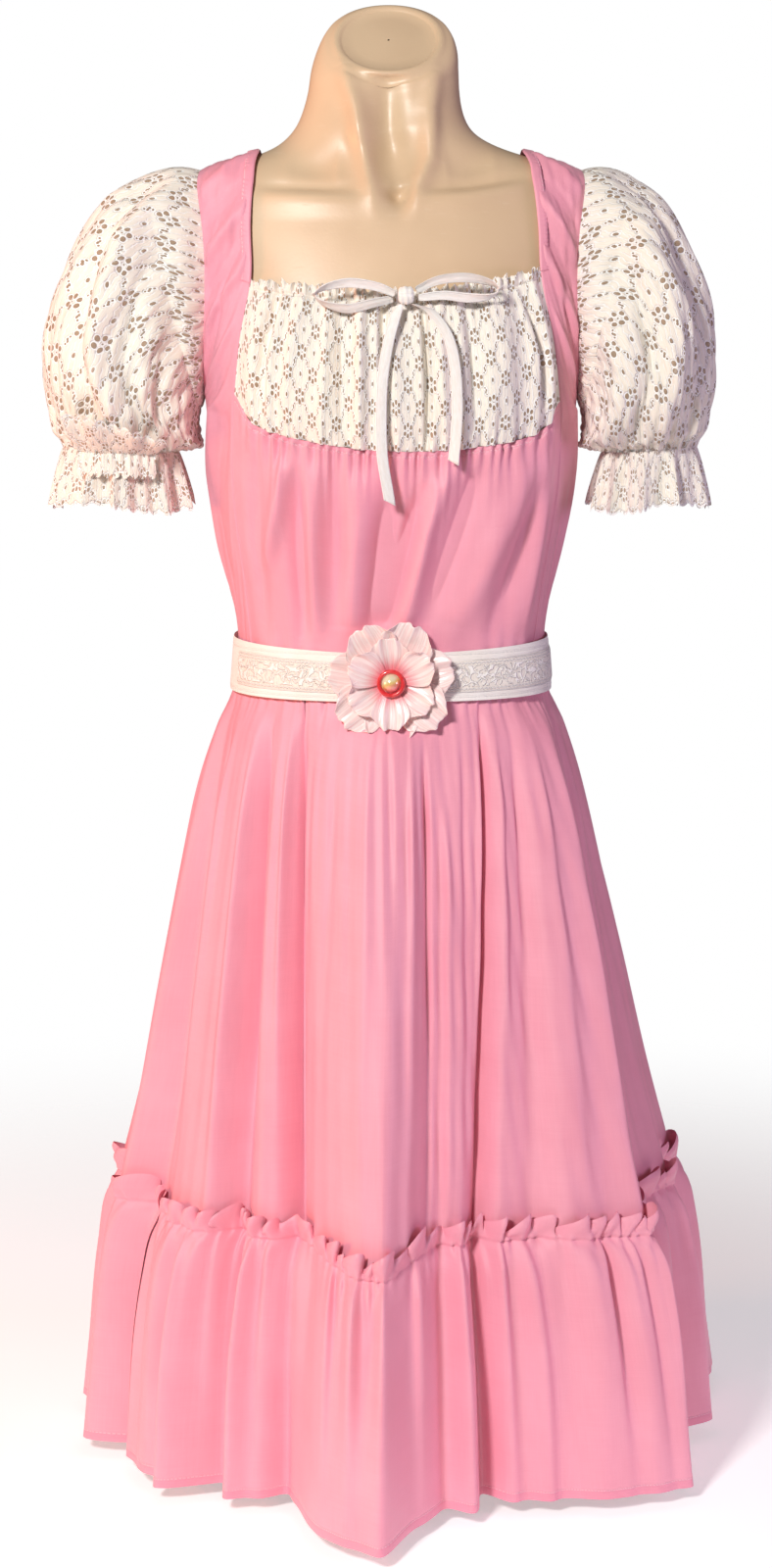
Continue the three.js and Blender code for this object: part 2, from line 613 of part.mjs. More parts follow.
// How far the folds push the skirt out at the hem, at an angle from the front in degrees
function foldAt(angle) {
  const turn = ((((angle - FOLDS[0].at) % 360) + 360) % 360) + FOLDS[0].at;
  const i = FOLDS.findLastIndex((fold) => fold.at <= turn);
  const next = FOLDS[(i + 1) % FOLDS.length];
  const nextAt = next.at + (i + 1 === FOLDS.length ? 360 : 0);
  const t = (turn - FOLDS[i].at) / (nextAt - FOLDS[i].at);
  const crest = t < 0.5 ? FOLDS[i].out : next.out;
  return lerp(FOLDS[i].trough, crest, 0.5 + 0.5 * Math.cos(2 * Math.PI * t));
}

function skirt(angle, z, out = 0) {
  const row = (column) => curve(SKIRT, "z", column, z);
  const p = oval(radians(angle), row("side"), row("front"), row("back"), 2.15);
  const grow = clamp((665 - z) / 650, 0, 1) ** 1.4;
  const away = vector(Math.sin(radians(angle)), -Math.cos(radians(angle)), 0);
  return vector(p.x, p.y, z).addScaledVector(away, foldAt(angle) * grow + out);
}

const SKIRT_ROWS = [
  { z: 223, gather: 0, out: -2.2 }, { z: 355, gather: 0, out: 0 }, { z: 520, gather: 0, out: 0 },
  { z: 636, gather: 1.6, out: 0 }, { z: 670, gather: 0.3, out: 0 }, { z: 689.8, gather: 0.3, out: 0 },
];
for (const { name, high, low, highEnd, lowEnd } of GORES) {
  const columns = Math.round((highEnd - high) / 4.2);
  const grid = SKIRT_ROWS.map(({ z, gather, out }) => Array.from({ length: columns + 1 }, (_, j) => {
    const t = (WAIST_Z - z) / (WAIST_Z - 223);
    const inset = 0.09 + 0.05 * (1 - t);
    const angle = lerp(lerp(high, low, t) + inset, lerp(highEnd, lowEnd, t) - inset, j / columns);
    return skirt(angle, z, out + (j > 0 && j < columns ? gather * (j % 2 ? 1 : -1) : 0));
  }));
  add(`skirt_${name}`, wall(grid), PINK);
}

const FLOUNCE = { heading: 15, gathers: 42, pitch: 2.85, strips: [-67, 40, 128, 224, 293] };
const FLOUNCE_ROWS = [
  { z: HEM_Z, ripple: 2.6, base: 0 },
  { z: 130, ripple: 3.6, base: 2 },
  { z: FLOUNCE_Z, ripple: 1.6, base: 4 },
  { z: FLOUNCE_Z + FLOUNCE.heading, ripple: 5.2, base: 8 },
];
function flounce(angle, { z, ripple, base }) {
  const turn = radians(angle);
  const phase = FLOUNCE.gathers * turn + 1.6 * Math.sin(7 * turn);
  const p = skirt(angle, z, base + ripple * Math.cos(phase + 1.1 * Math.cos(11 * turn)));
  p.z += z > FLOUNCE_Z ? 3.2 * Math.sin(phase + 0.6) : 0;
  return p;
}
FLOUNCE.strips.slice(0, -1).forEach((start, i) => {
  const end = FLOUNCE.strips[i + 1];
  const columns = Math.round((end - start) / FLOUNCE.pitch);
  const grid = FLOUNCE_ROWS.map((row) => Array.from({ length: columns + 1 }, (_, j) =>
    flounce(lerp(start + 0.07, end - 0.07, j / columns), row)));
  add(`flounce_${["front", "right", "back", "left"][i]}`, wall(grid), PINK);
});

// The belt and its ribbon

const BELT_LIFT = LIFT + 4.6;
function belt(angle, high, out = 0) {
  const top = lerp(BELT.highFront, BELT.highSide, Math.sin(angle) ** 2);
  const z = lerp(BELT.low, top, high);
  const [side, front, behind] = ["side", "front", "back"].map((column) =>
    lerp(figure(column, BELT.low), figure(column, BELT.highFront), high) + BELT_LIFT);
  const p = oval(angle, side, front, behind);
  return vector(p.x + out * Math.sin(angle), p.y - out * Math.cos(angle), z);
}
add("belt", wall(gridOf(1, 30, (u, v) => belt(2 * Math.PI * u, v), true), BELT.wall, true), CREAM);
const ribbon = gridOf(1, 26, (u, v) =>
  belt(radians(lerp(RIBBON.from, RIBBON.to, u)), lerp(RIBBON.low, RIBBON.high, v), RIBBON.wall + SEAM));
add("belt_ribbon", wall(ribbon, RIBBON.wall), CREAM);

// The flower

function petals(count, radius, columns, rows, depthAtHeart, depth, start) {
  return gridOf(rows, columns, (u, v) => {
    const turn = 2 * Math.PI * (1 - u);
    const lobe = Math.abs(Math.sin((count * turn) / 2 + start));
    const own = Math.floor(((count * turn) / 2 + start) / Math.PI) % count;
    const far = radius * (0.6 + 0.4 * lobe ** 0.55) * (0.94 + 0.1 * chance(own + start * 7));
    const r = lerp(6.4, far, v);
    const lift = depth * v ** 1.5 + 2 * v * Math.cos(count * turn + 2 * start);
    return vector(FLOWER.x + r * Math.sin(turn), depthAtHeart - lift, FLOWER.z + r * Math.cos(turn));
  }, true);
}
const heart = -(figure("front", FLOWER.z) + BELT_LIFT + RIBBON.wall + SEAM);
add("flower_outer", wall(petals(8, 50, 32, 2, heart - 1.8, 12, 0.4), CLOTH, true), PETAL);
add("flower_inner", wall(petals(6, 35, 30, 2, heart - 7, 9, 1.1), CLOTH, true), PETAL);
// A solid turned about the flower's own axis, which faces the front
const CENTRE_OUT = 10.1; // from the flower's back to where its ring and dome sit
const facing = (profile, sides) => lathe(profile, sides).rotateX(Math.PI / 2)
  .translate(FLOWER.x, heart - CENTRE_OUT, FLOWER.z);
const RING_PROFILE = [[8.6, 0], [11, 0.3], [11.5, 1.8], [10.4, 3], [8.6, 2.4], [8.6, 0]];
const DOME_PROFILE = [[0, -2], [5, -2], [8.2, 0], [8, 2], [5.8, 4.4], [0, 5.6]];
add("flower_ring", facing(RING_PROFILE, 16), RED);
add("flower_dome", facing(DOME_PROFILE, 14), PEARL);

// The drawstring bow: flat tape along a path, whose rows give a point and the lean of the tape's width

const TAPE = { wide: 9, wall: 1.1, slant: 2.5 }; // slant: an end's corners, above and below its middle
const LOOPS = {
  loop_left: [
    { x: 3.6, y: -120, z: 1004, lean: 10 }, { x: -12, y: -124, z: 1010, lean: 20 },
    { x: -34, y: -127, z: 1013, lean: 25 }, { x: -54, y: -126, z: 1009, lean: 60 },
    { x: -61, y: -122, z: 1003, lean: 88 }, { x: -52, y: -119.5, z: 996, lean: 60 },
    { x: -34, y: -119, z: 992.5, lean: 25 }, { x: -14, y: -119.6, z: 997, lean: 15 },
    { x: 1.5, y: -117, z: 1000, lean: 10 },
  ],
  loop_right: [
    { x: 22, y: -117, z: 1001, lean: 10 }, { x: 42, y: -119, z: 1003, lean: 15 },
    { x: 62, y: -118, z: 1001, lean: 25 }, { x: 78, y: -118, z: 1002, lean: 60 },
    { x: 86, y: -120, z: 1007, lean: 88 }, { x: 80, y: -123, z: 1013, lean: 60 },
    { x: 60, y: -125, z: 1017, lean: 25 }, { x: 38, y: -124, z: 1015, lean: 20 },
    { x: 20, y: -120, z: 1007, lean: 10 },
  ],
};
const TAILS = {
  tail_left: [
    { x: 8, y: -119, z: 995.9 }, { x: 3, y: -122.5, z: 985 }, { x: -3, y: -129, z: 962 },
    { x: -7, y: -135, z: 935 }, { x: -8, y: -136.5, z: 905 }, { x: -7, y: -137, z: 875 },
    { x: -3, y: -137, z: 845 }, { x: -1, y: -137, z: 828 },
  ],
  tail_right: [
    { x: 18, y: -120.5, z: 996 }, { x: 32, y: -121, z: 990 }, { x: 45, y: -127, z: 972 },
    { x: 51, y: -133, z: 948 }, { x: 53, y: -136, z: 918 }, { x: 52, y: -135, z: 888 },
    { x: 49, y: -133, z: 860 },
  ],
};
function loopTape(path) {
  return wall(path.map(({ x, y, z, lean }, i) => {
    const next = path[Math.min(i + 1, path.length - 1)];
    const last = path[Math.max(i - 1, 0)];
    const way = vector(next.x - last.x, 0, next.z - last.z).normalize();
    const flat = vector(-way.z, 0, way.x).multiplyScalar(Math.cos(radians(lean)));
    const wide = flat.setY(-Math.sin(radians(lean)) * Math.sign(way.x || 1)).multiplyScalar(TAPE.wide / 2);
    return [vector(x, y, z).sub(wide), vector(x, y, z).add(wide)];
  }), TAPE.wall);
}
const tailTape = (path) => wall(path.map(({ x, y, z }, i) => {
  const cut = i === path.length - 1 ? TAPE.slant : 0;
  return [vector(x - TAPE.wide / 2, y, z + cut), vector(x + TAPE.wide / 2, y, z - cut)];
}).reverse(), TAPE.wall);
for (const [name, path] of Object.entries(LOOPS)) add(`bow_${name}`, loopTape(path), WHITE);
for (const [name, path] of Object.entries(TAILS)) add(`bow_${name}`, tailTape(path), WHITE);

const KNOT = vector(12, -122, 1003);
const KNOT_SIDES = 10;
// The knot's rings from right to left: x from its centre, half height and depth
const KNOT_RINGS = [
  { x: 7, high: 3.5, deep: 3 },
  { x: 5.5, high: 6.5, deep: 5 },
  { x: 0, high: 7.5, deep: 5.5 },
  { x: -5.5, high: 6.5, deep: 5 },
  { x: -7, high: 3.5, deep: 3 },
];
add("bow_knot", loft(KNOT_RINGS.map(({ x, high, deep }) => Array.from({ length: KNOT_SIDES }, (_, k) => {
  const turn = (2 * Math.PI * k) / KNOT_SIDES;
  return vector(x, -deep * Math.cos(turn), high * Math.sin(turn)).add(KNOT);
}))), WHITE);

export default dress;
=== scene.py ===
"""Looks of a square dance dress on a plain dress form.

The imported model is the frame. Finer cloth takes the place of its plain walls, made by the same tables and
formulas as the part's source, apart from the skirt's folds, which have sharper corners here. Tables and
formulas are in millimetres, and the meshes are made in metres.
"""

from __future__ import annotations

import logging
import math
from collections.abc import Sequence
from dataclasses import dataclass, field
from enum import Enum
from typing import ClassVar

import bpy
import numpy as np
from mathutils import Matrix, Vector

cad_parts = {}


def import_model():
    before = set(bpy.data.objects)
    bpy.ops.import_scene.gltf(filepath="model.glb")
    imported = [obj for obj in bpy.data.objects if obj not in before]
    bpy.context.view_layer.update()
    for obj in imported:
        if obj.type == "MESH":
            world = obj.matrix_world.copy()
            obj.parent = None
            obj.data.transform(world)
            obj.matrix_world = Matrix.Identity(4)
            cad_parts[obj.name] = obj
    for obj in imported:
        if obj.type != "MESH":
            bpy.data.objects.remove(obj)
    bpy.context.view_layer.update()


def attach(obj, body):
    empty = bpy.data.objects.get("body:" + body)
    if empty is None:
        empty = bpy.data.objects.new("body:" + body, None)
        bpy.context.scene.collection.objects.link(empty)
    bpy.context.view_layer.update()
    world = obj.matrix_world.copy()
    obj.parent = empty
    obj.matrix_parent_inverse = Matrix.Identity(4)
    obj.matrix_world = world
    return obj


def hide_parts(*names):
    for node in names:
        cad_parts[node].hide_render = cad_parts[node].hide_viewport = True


Array = np.ndarray
Point = tuple[float, float, float]

MM = 0.001
log = logging.getLogger("dress")

# Driving sizes, as in the part's source
LIFT = 3.7
SEAM = 0.4
WAIST_Z = 690.0
CHEST_Z = 930.0
HEM_Z = 14.0
FLOUNCE_Z = 230.0
SQUARENESS = 2.3
FORM_FOOT_Z = 505.0
BELT_LOW_Z = 671.0
GORE_FOOT_Z = 222.0
# Least distance of the fitted cloth from the figure, so that the form doesn't show through
LEAST_LIFT = 2.2
# Walls of the small pieces that keep their shape
TAPE_WALL = 0.6
PETAL_WALL = 0.3


class Table:
    """A table of sizes, read as a smooth curve through its rows."""

    def __init__(self, columns: str, rows: Sequence[Sequence[float]]) -> None:
        """Keep the rows.

        Args:
            columns: names of the columns, the first being the one that the rows are ordered by.
            rows: the sizes, one tuple a row.
        """
        self.columns = columns.split()
        self.rows = np.array(rows, float)

    def read(self, column: str, place: Array | float) -> Array:
        """Read a column at places along the first one.

        Args:
            column: the column's name.
            place: where to read it.

        Returns:
            The values, in the shape of place.
        """
        by = self.rows[:, 0]
        value = self.rows[:, self.columns.index(column)]
        before = np.concatenate([[0], np.arange(len(by) - 1)])
        after = np.concatenate([np.arange(1, len(by)), [len(by) - 1]])
        slope = (value[after] - value[before]) / (by[after] - by[before])
        place = np.asarray(place, float)
        i = np.clip(np.searchsorted(by, place, side="right") - 1, 0, len(by) - 2)
        wide = by[i + 1] - by[i]
        t = np.clip((place - by[i]) / wide, 0, 1)
        return (
            (1 + 2 * t) * (1 - t) ** 2 * value[i]
            + t * (1 - t) ** 2 * wide * slope[i]
            + t * t * (3 - 2 * t) * value[i + 1]
            + t * t * (t - 1) * wide * slope[i + 1]
        )


FIGURE = Table(
    "z side front back",
    [
        (505, 129, 90, 92), (540, 138, 97, 101), (580, 140, 99, 103), (620, 138, 98, 99),
        (660, 131, 94, 91), (690, 127, 91, 87), (720, 126, 92, 87), (760, 132, 98, 90),
        (800, 140, 105, 93), (850, 147, 113, 95), (900, 150, 119, 96), (930, 154, 117, 97),
        (960, 160, 110, 98), (990, 165, 101, 98), (1020, 169, 92, 96), (1050, 172, 82, 91),
        (1075, 173, 72, 83), (1088, 170, 66, 76), (1096, 164, 61, 70), (1103, 152, 57, 65),
        (1108, 139, 54, 62), (1113, 123, 52, 59), (1119, 102, 50, 57), (1127, 84, 49, 55),
    ],
)
NECK = Table(
    "z x y lean side deep",
    [
        (1137, -7, 2, 0, 73, 52), (1150, -7, 2, 4, 67, 49), (1168, -6, 2, 12, 63, 47),
        (1186, -5, 1, 24, 61, 46), (1200, -3, -1, 35, 58, 47), (1208, -2, -3, 43, 53, 48),
        (1210, -2, -5, 43, 47, 45),
    ],
)
FRONT_SEAM = Table(
    "z left right",
    [
        (676, -110, 112), (760, -118, 122), (840, -127, 134), (895, -127, 137), (930, -125, 135),
        (970, -121, 130), (1016, -113, 121), (1060, -114, 119), (1095, -112, 115), (1118, -108, 108),
    ],
)
YOKE = Table(
    "u low high",
    [(0, 902, 1014), (0.25, 886, 1008), (0.52, 879, 1004), (0.8, 884, 1012), (1, 896, 1024)],
)
SLEEVE = Table(
    "at topX topZ lowX lowZ front back",
    [
        (1, 204, 1101, 161, 908, 70, 66), (2, 238, 1082, 163, 896, 85, 78),
        (3, 270, 1034, 163, 888, 91, 84), (4, 289, 985, 162, 882, 90, 82),
        (5, 294, 937, 160, 877, 80, 74), (6, 287, 897, 167, 874, 62, 58),
        (7, 279, 875, 176, 870, 48, 46),
    ],
)
SKIRT = Table(
    "z side front back",
    [
        (14, 275, 240, 245), (120, 262, 226, 232), (230, 238, 198, 206), (324, 216, 179, 187),
        (420, 198, 159, 167), (534, 175, 136, 143), (600, 160, 121, 127), (640, 148, 110, 114),
        (655, 141, 103.5, 102), (671, 133.4, 97.2, 93.6), (690, 131, 95, 91),
    ],
)
# The skirt's folds, as the corners of its hem: each one's angle from the front, and how far out it stands
FOLDS = (
    (-101, 14), (-91, -30), (-79, 8), (-73, -42), (-58, -18), (-47, -14), (-43, -54), (-35, -24),
    (-30, -28), (-26, -52), (-14, 16), (-7, 54), (-1, 64), (4, 18), (12, -28), (18, -20), (24, -52),
    (27, -22), (37, -26), (42, 4), (52, 12), (57, 36), (72, -42), (90, 12), (99, -34), (106, 24),
    (115, 64), (128, -28), (141, 28), (153, -32), (165, 26), (176, -32), (188, 30), (200, -30),
    (212, 26), (224, -34), (236, 28), (247, -32),
)
# The gores' seams: their angles at the waist and at the flounce
SEAM_ANGLES = ((-118, -118), (-41, -26), (42, 24), (118, 122), (242, 242))


def lerp(a: Array | float, b: Array | float, t: Array | float) -> Array | float:
    """Value between a and b at share t."""
    return a + (b - a) * t


def ease(value: Array | float, low: float, high: float) -> Array:
    """Smooth step from 0 at low to 1 at high."""
    t = np.clip((np.asarray(value, float) - low) / (high - low), 0, 1)
    return t * t * (3 - 2 * t)


def stack(x: Array | float, y: Array | float, z: Array | float) -> Array:
    """Points from their coordinates, which are broadcast together."""
    return np.stack(np.broadcast_arrays(x, y, z), axis=-1).astype(float)


def wander(place: Array | float, seed: float) -> Array:
    """A smooth line from -1 to 1 that doesn't repeat soon."""
    p = np.asarray(place, float)
    return (np.sin(1.7 * p + seed) + np.sin(3.1 * p + 2.3 * seed) + np.sin(5.3 * p + 4.1 * seed)) / 3


def bell(place: Array, middle: float, width: float) -> Array:
    """1 at the middle, falling off smoothly on both sides."""
    return np.exp(-(((place - middle) / width) ** 2))


def waves(turns: Array) -> Array:
    """Waves between -1 and 1, one for each whole turn."""
    return np.cos(2 * np.pi * turns)


def rounded(share: Array, power: int) -> Array:
    """Section of a strip with rounded edges: 1 in the middle and 0 at the edges."""
    return np.sqrt(np.maximum(1 - (2 * share - 1) ** power, 0))


def shares(count: int) -> Array:
    """Even steps from 0 to 1."""
    return np.linspace(0, 1, count)


def all_round(count: int) -> Array:
    """Angles at even steps of a full turn."""
    return np.linspace(0, 2 * np.pi, count, endpoint=False)


def fade(u: Array, wide: float = 0.1) -> Array:
    """1 within a sheet, going to 0 at its two side edges."""
    return ease(u, 0, wide) * ease(1 - u, 0, wide)


def field_of(across: Array, up: Array) -> tuple[Array, Array]:
    """Two tables of places: one for each row of up and each column of across."""
    rows, columns = np.meshgrid(up, across, indexing="ij")
    return columns, rows


class Torso:
    """The figure that the bodice is fitted over."""

    def size(self, column: str, z: Array | float) -> Array:
        """Half width or depth of the figure at a height."""
        return FIGURE.read(column, z)

    def reach(self, p: Array) -> Array:
        """1 on the figure's surface, less inside and more outside."""
        z = p[..., 2]
        deep = np.where(p[..., 1] < 0, self.size("front", z), self.size("back", z))
        across = np.abs(p[..., 0]) / self.size("side", z)
        return (across**SQUARENESS + (np.abs(p[..., 1]) / deep) ** SQUARENESS) ** (1 / SQUARENESS)

    def slope(self, p: Array) -> Array:
        """Direction straight out of the surface."""
        step = 1.5 * np.eye(3)
        way = np.stack([self.reach(p + s) - self.reach(p - s) for s in step], axis=-1)
        return way / np.linalg.norm(way, axis=-1, keepdims=True)

    def seat(self, guess: Array, lift: Array | float) -> Array:
        """Bring points onto the figure.

        Args:
            guess: points near the figure.
            lift: how far outside it they end up.

        Returns:
            The seated points.
        """
        x = np.sign(guess[..., 0]) * np.minimum(np.abs(guess[..., 0]), 100)
        pivot = stack(x, 0, np.minimum(guess[..., 2], 1000))
        ray = guess - pivot
        near = np.zeros(guess.shape[:-1])
        far = np.full(guess.shape[:-1], 2.5)
        for _ in range(34):
            middle = (near + far) / 2
            inside = self.reach(pivot + ray * middle[..., None]) < 1
            near = np.where(inside, middle, near)
            far = np.where(inside, far, middle)
        p = pivot + ray * near[..., None]
        return p + self.slope(p) * np.asarray(lift)[..., None]

    def depth(self, x: Array, z: Array, facing: Array | float) -> Array:
        """Y of the surface at x and z, on the front (-1) or the back (1)."""
        share = np.minimum(np.abs(x) / self.size("side", z), 0.9999)
        deep = np.where(np.asarray(facing) < 0, self.size("front", z), self.size("back", z))
        return facing * deep * (1 - share**SQUARENESS) ** (1 / SQUARENESS)


TORSO = Torso()


def oval(
    angle: Array, side: Array, front: Array, back: Array, square: float = SQUARENESS
) -> tuple[Array, Array]:
    """X and y of a superellipse at an angle from the front towards +X, in radians."""
    s, c = np.sin(angle), np.cos(angle)
    deep = np.where(c > 0, front, back)
    r = ((np.abs(s) / side) ** square + (np.abs(c) / deep) ** square) ** (-1 / square)
    return r * s, -r * c


@dataclass(frozen=True)
class Crease:
    """A soft ridge, or a trough where height is below zero, along a line on a piece's flat chart."""

    line: tuple[tuple[float, float], ...]
    width: float
    height: float

    def rise(self, across: Array, up: Array) -> Array:
        """How far the cloth is pushed out at places on the chart, in millimetres."""
        nearest = np.full(np.shape(across), np.inf)
        share = np.zeros(np.shape(across))
        lengths = [math.dist(a, b) for a, b in zip(self.line, self.line[1:])]
        before = 0.0
        for (ax, ay), (bx, by), length in zip(self.line, self.line[1:], lengths):
            t = ((across - ax) * (bx - ax) + (up - ay) * (by - ay)) / length**2
            t = np.clip(t, 0, 1)
            away = np.hypot(across - lerp(ax, bx, t), up - lerp(ay, by, t))
            share = np.where(away < nearest, (before + t * length) / sum(lengths), share)
            nearest = np.minimum(nearest, away)
            before += length
        taper = 0.25 + 0.75 * np.sin(np.pi * np.clip(share, 0, 1)) ** 0.7
        return self.height * taper * bell(nearest, 0, self.width)


def creased(creases: Sequence[Crease], across: Array, up: Array) -> Array:
    """Sum of the creases at places on a chart."""
    return sum((crease.rise(across, up) for crease in creases), np.zeros(np.shape(across)))


@dataclass
class Sheet:
    """Cloth as rows of points in millimetres, with the place of each point on the flat cut."""

    points: Array
    width: float = 0.0
    closed: bool = False
    from_top: bool = False

    def normals(self) -> Array:
        """Directions straight out of the cloth."""
        p = self.points
        if self.closed:
            across = np.roll(p, -1, axis=1) - np.roll(p, 1, axis=1)
        else:
            across = np.gradient(p, axis=1)
        up = np.gradient(p, axis=0)
        out = np.cross(across, up)
        return out / np.maximum(np.linalg.norm(out, axis=-1, keepdims=True), 1e-9)

    def raised(self, rise: Array | float) -> Sheet:
        """The same cloth pushed out along its normals."""
        moved = self.points + self.normals() * np.asarray(rise)[..., None]
        return Sheet(moved, self.width, self.closed, self.from_top)

    def mirrored(self) -> Sheet:
        """The same cloth on the other side of the figure."""
        flipped = self.points * np.array([-1.0, 1.0, 1.0])
        return Sheet(flipped[:, ::-1], self.width, self.closed, self.from_top)

    def on_side(self, side: int) -> Sheet:
        """This cloth on the right, and its mirror image on the left."""
        return self if side > 0 else self.mirrored()

    def chart(self) -> tuple[Array, Array]:
        """Place of each column across the cut, and of each point up it, in millimetres."""
        columns = self.points.shape[1]
        steps = columns if self.closed else columns - 1
        across = self.width * np.arange(columns + (1 if self.closed else 0)) / steps
        climb = np.linalg.norm(np.diff(self.points, axis=0), axis=-1)
        up = np.concatenate([np.zeros((1, columns)), np.cumsum(climb, axis=0)])
        if self.from_top:
            up = up[-1:] - up
        if self.closed:
            up = np.concatenate([up, up[:, :1]], axis=1)
        return across, up

    def quads(self) -> tuple[Array, Array]:
        """Corner numbers of the faces, and the flat place of each corner."""
        rows, columns = self.points.shape[:2]
        spans = columns if self.closed else columns - 1
        i, j = np.meshgrid(np.arange(rows - 1), np.arange(spans), indexing="ij")
        corners = [(0, 0), (0, 1), (1, 1), (1, 0)]
        faces = np.stack([(i + a) * columns + (j + b) % columns for a, b in corners], axis=-1).reshape(-1, 4)
        across, up = self.chart()
        flat = np.stack(
            [np.stack([across[j + b], up[i + a, j + b]], axis=-1) for a, b in corners], axis=2
        ).reshape(-1, 2)
        return faces, flat


class Held(Enum):
    """How a sheet of cloth is held."""

    GATHERED = "gathered"
    STRETCHED = "stretched"


@dataclass(frozen=True)
class Cut:
    """The flat cut of a sheet of cloth, in metres, and what carries it."""

    width: float
    length: float
    held: Held
    rests_on: tuple[str, ...]
    area: float | None = None


class Nodes:
    """The node tree of one material."""

    def __init__(self, material: bpy.types.Material) -> None:
        """Empty the tree and keep its output's shader."""
        material.use_nodes = True
        self.tree = material.node_tree
        self.tree.nodes.clear()
        self.output = self.tree.nodes.new("ShaderNodeOutputMaterial")

    def add(self, kind: str, settings: dict | None = None, inputs: dict | None = None) -> bpy.types.Node:
        """Add one node.

        Args:
            kind: the node's type.
            settings: properties, set first. A ramp's stops go under "stops" as (place, colour) pairs.
            inputs: values, sockets or terms by the input's name or number.

        Returns:
            The node.
        """
        node = self.tree.nodes.new(kind)
        for name, value in (settings or {}).items():
            if name == "stops":
                self.set_stops(node.color_ramp, value)
            else:
                setattr(node, name, value)
        for name, value in (inputs or {}).items():
            source = value.source if isinstance(value, Term) else value
            if isinstance(source, bpy.types.NodeSocket):
                self.tree.links.new(source, node.inputs[name])
            else:
                node.inputs[name].default_value = source
        return node

    @staticmethod
    def set_stops(ramp: bpy.types.ColorRamp, stops: Sequence[tuple[float, Sequence[float]]]) -> None:
        """Give a colour ramp its stops."""
        while len(ramp.elements) < len(stops):
            ramp.elements.new(1.0)
        for element, (place, colour) in zip(ramp.elements, stops):
            element.position = place
            element.color = (*colour, 1.0)

    def term(self, source: bpy.types.NodeSocket | float) -> Term:
        """Wrap a socket or number for shader maths."""
        return Term(self, source)

    def chart(self) -> tuple[Term, Term, bpy.types.NodeSocket]:
        """Place on the flat cut: across and up in millimetres, and the whole vector in metres."""
        uv = self.add("ShaderNodeUVMap", {"uv_map": "cut"}).outputs[0]
        parts = self.add("ShaderNodeSeparateXYZ", inputs={0: uv})
        return self.term(parts.outputs[0]) * 1000, self.term(parts.outputs[1]) * 1000, uv

    def vector(self, operation: str, *inputs: object) -> bpy.types.NodeSocket:
        """Result of a vector operation."""
        node = self.add("ShaderNodeVectorMath", {"operation": operation}, dict(enumerate(inputs)))
        return node.outputs["Value"] if operation == "LENGTH" else node.outputs["Vector"]

    def joined(self, x: object, y: object, z: object = 0.0) -> bpy.types.NodeSocket:
        """A vector from three values."""
        return self.add("ShaderNodeCombineXYZ", inputs={0: x, 1: y, 2: z}).outputs[0]

    def noise(self, place: bpy.types.NodeSocket, scale: float, detail: float = 2.0) -> Term:
        """Smooth noise from 0 to 1."""
        node = self.add("ShaderNodeTexNoise", inputs={"Vector": place, "Scale": scale, "Detail": detail})
        return self.term(node.outputs[0])

    def streaks(self, place: bpy.types.NodeSocket, scales: Point, detail: float) -> Term:
        """Noise with a scale for each axis."""
        return self.noise(self.vector("MULTIPLY", place, scales), 1.0, detail)

    def mix(self, share: object, first: object, second: object) -> bpy.types.NodeSocket:
        """Colour between two colours."""
        node = self.add("ShaderNodeMix", {"data_type": "RGBA"}, {0: share, 6: first, 7: second})
        return node.outputs[2]

    def bump(self, height: Term, distance: float) -> bpy.types.NodeSocket:
        """Normal of a surface with this height, in units of distance, in metres."""
        inputs = {"Height": height, "Distance": distance, "Strength": 1.0}
        return self.add("ShaderNodeBump", inputs=inputs).outputs[0]

    def surface(self, **inputs: object) -> bpy.types.Node:
        """The Principled shader, whose inputs are named with underscores for spaces, joined to the output."""
        named = {name.replace("_", " "): value for name, value in inputs.items()}
        shader = self.add("ShaderNodeBsdfPrincipled", inputs=named)
        self.tree.links.new(shader.outputs[0], self.output.inputs["Surface"])
        return shader


class Term:
    """A socket or number that can be used in a Python expression, which adds its Math nodes."""

    def __init__(self, nodes: Nodes, source: bpy.types.NodeSocket | float) -> None:
        """Keep the tree and the source."""
        self.nodes = nodes
        self.source = source

    def math(self, operation: str, *others: object) -> Term:
        """Result of a Math node on this value and others."""
        node = self.nodes.add("ShaderNodeMath", {"operation": operation}, dict(enumerate((self, *others))))
        return Term(self.nodes, node.outputs[0])

    def __add__(self, other: Term | float) -> Term:
        """Sum."""
        return self.math("ADD", other)

    __radd__ = __add__

    def __sub__(self, other: Term | float) -> Term:
        """Difference."""
        return self.math("SUBTRACT", other)

    def __rsub__(self, other: Term | float) -> Term:
        """Difference from a number."""
        return Term(self.nodes, other).math("SUBTRACT", self)

    def __mul__(self, other: Term | float) -> Term:
        """Product."""
        return self.math("MULTIPLY", other)

    __rmul__ = __mul__

    def __truediv__(self, other: Term | float) -> Term:
        """Quotient."""
        return self.math("DIVIDE", other)

    def __abs__(self) -> Term:
        """Size without its sign."""
        return self.math("ABSOLUTE")

    def sine(self) -> Term:
        """Sine of an angle in radians."""
        return self.math("SINE")

    def least(self, other: Term | float) -> Term:
        """The smaller of two."""
        return self.math("MINIMUM", other)

    def most(self, other: Term | float) -> Term:
        """The larger of two."""
        return self.math("MAXIMUM", other)

    def folded(self, length: float) -> Term:
        """Distance from 0 to length and back again, over and over."""
        return self.math("PINGPONG", length)

    def step(self, low: float, high: float, start: float = 0.0, end: float = 1.0) -> Term:
        """Smooth step from start, where this is at low, to end at high."""
        node = self.nodes.add(
            "ShaderNodeMapRange",
            {"interpolation_type": "SMOOTHSTEP"},
            {0: self, 1: low, 2: high, 3: start, 4: end},
        )
        return Term(self.nodes, node.outputs[0])


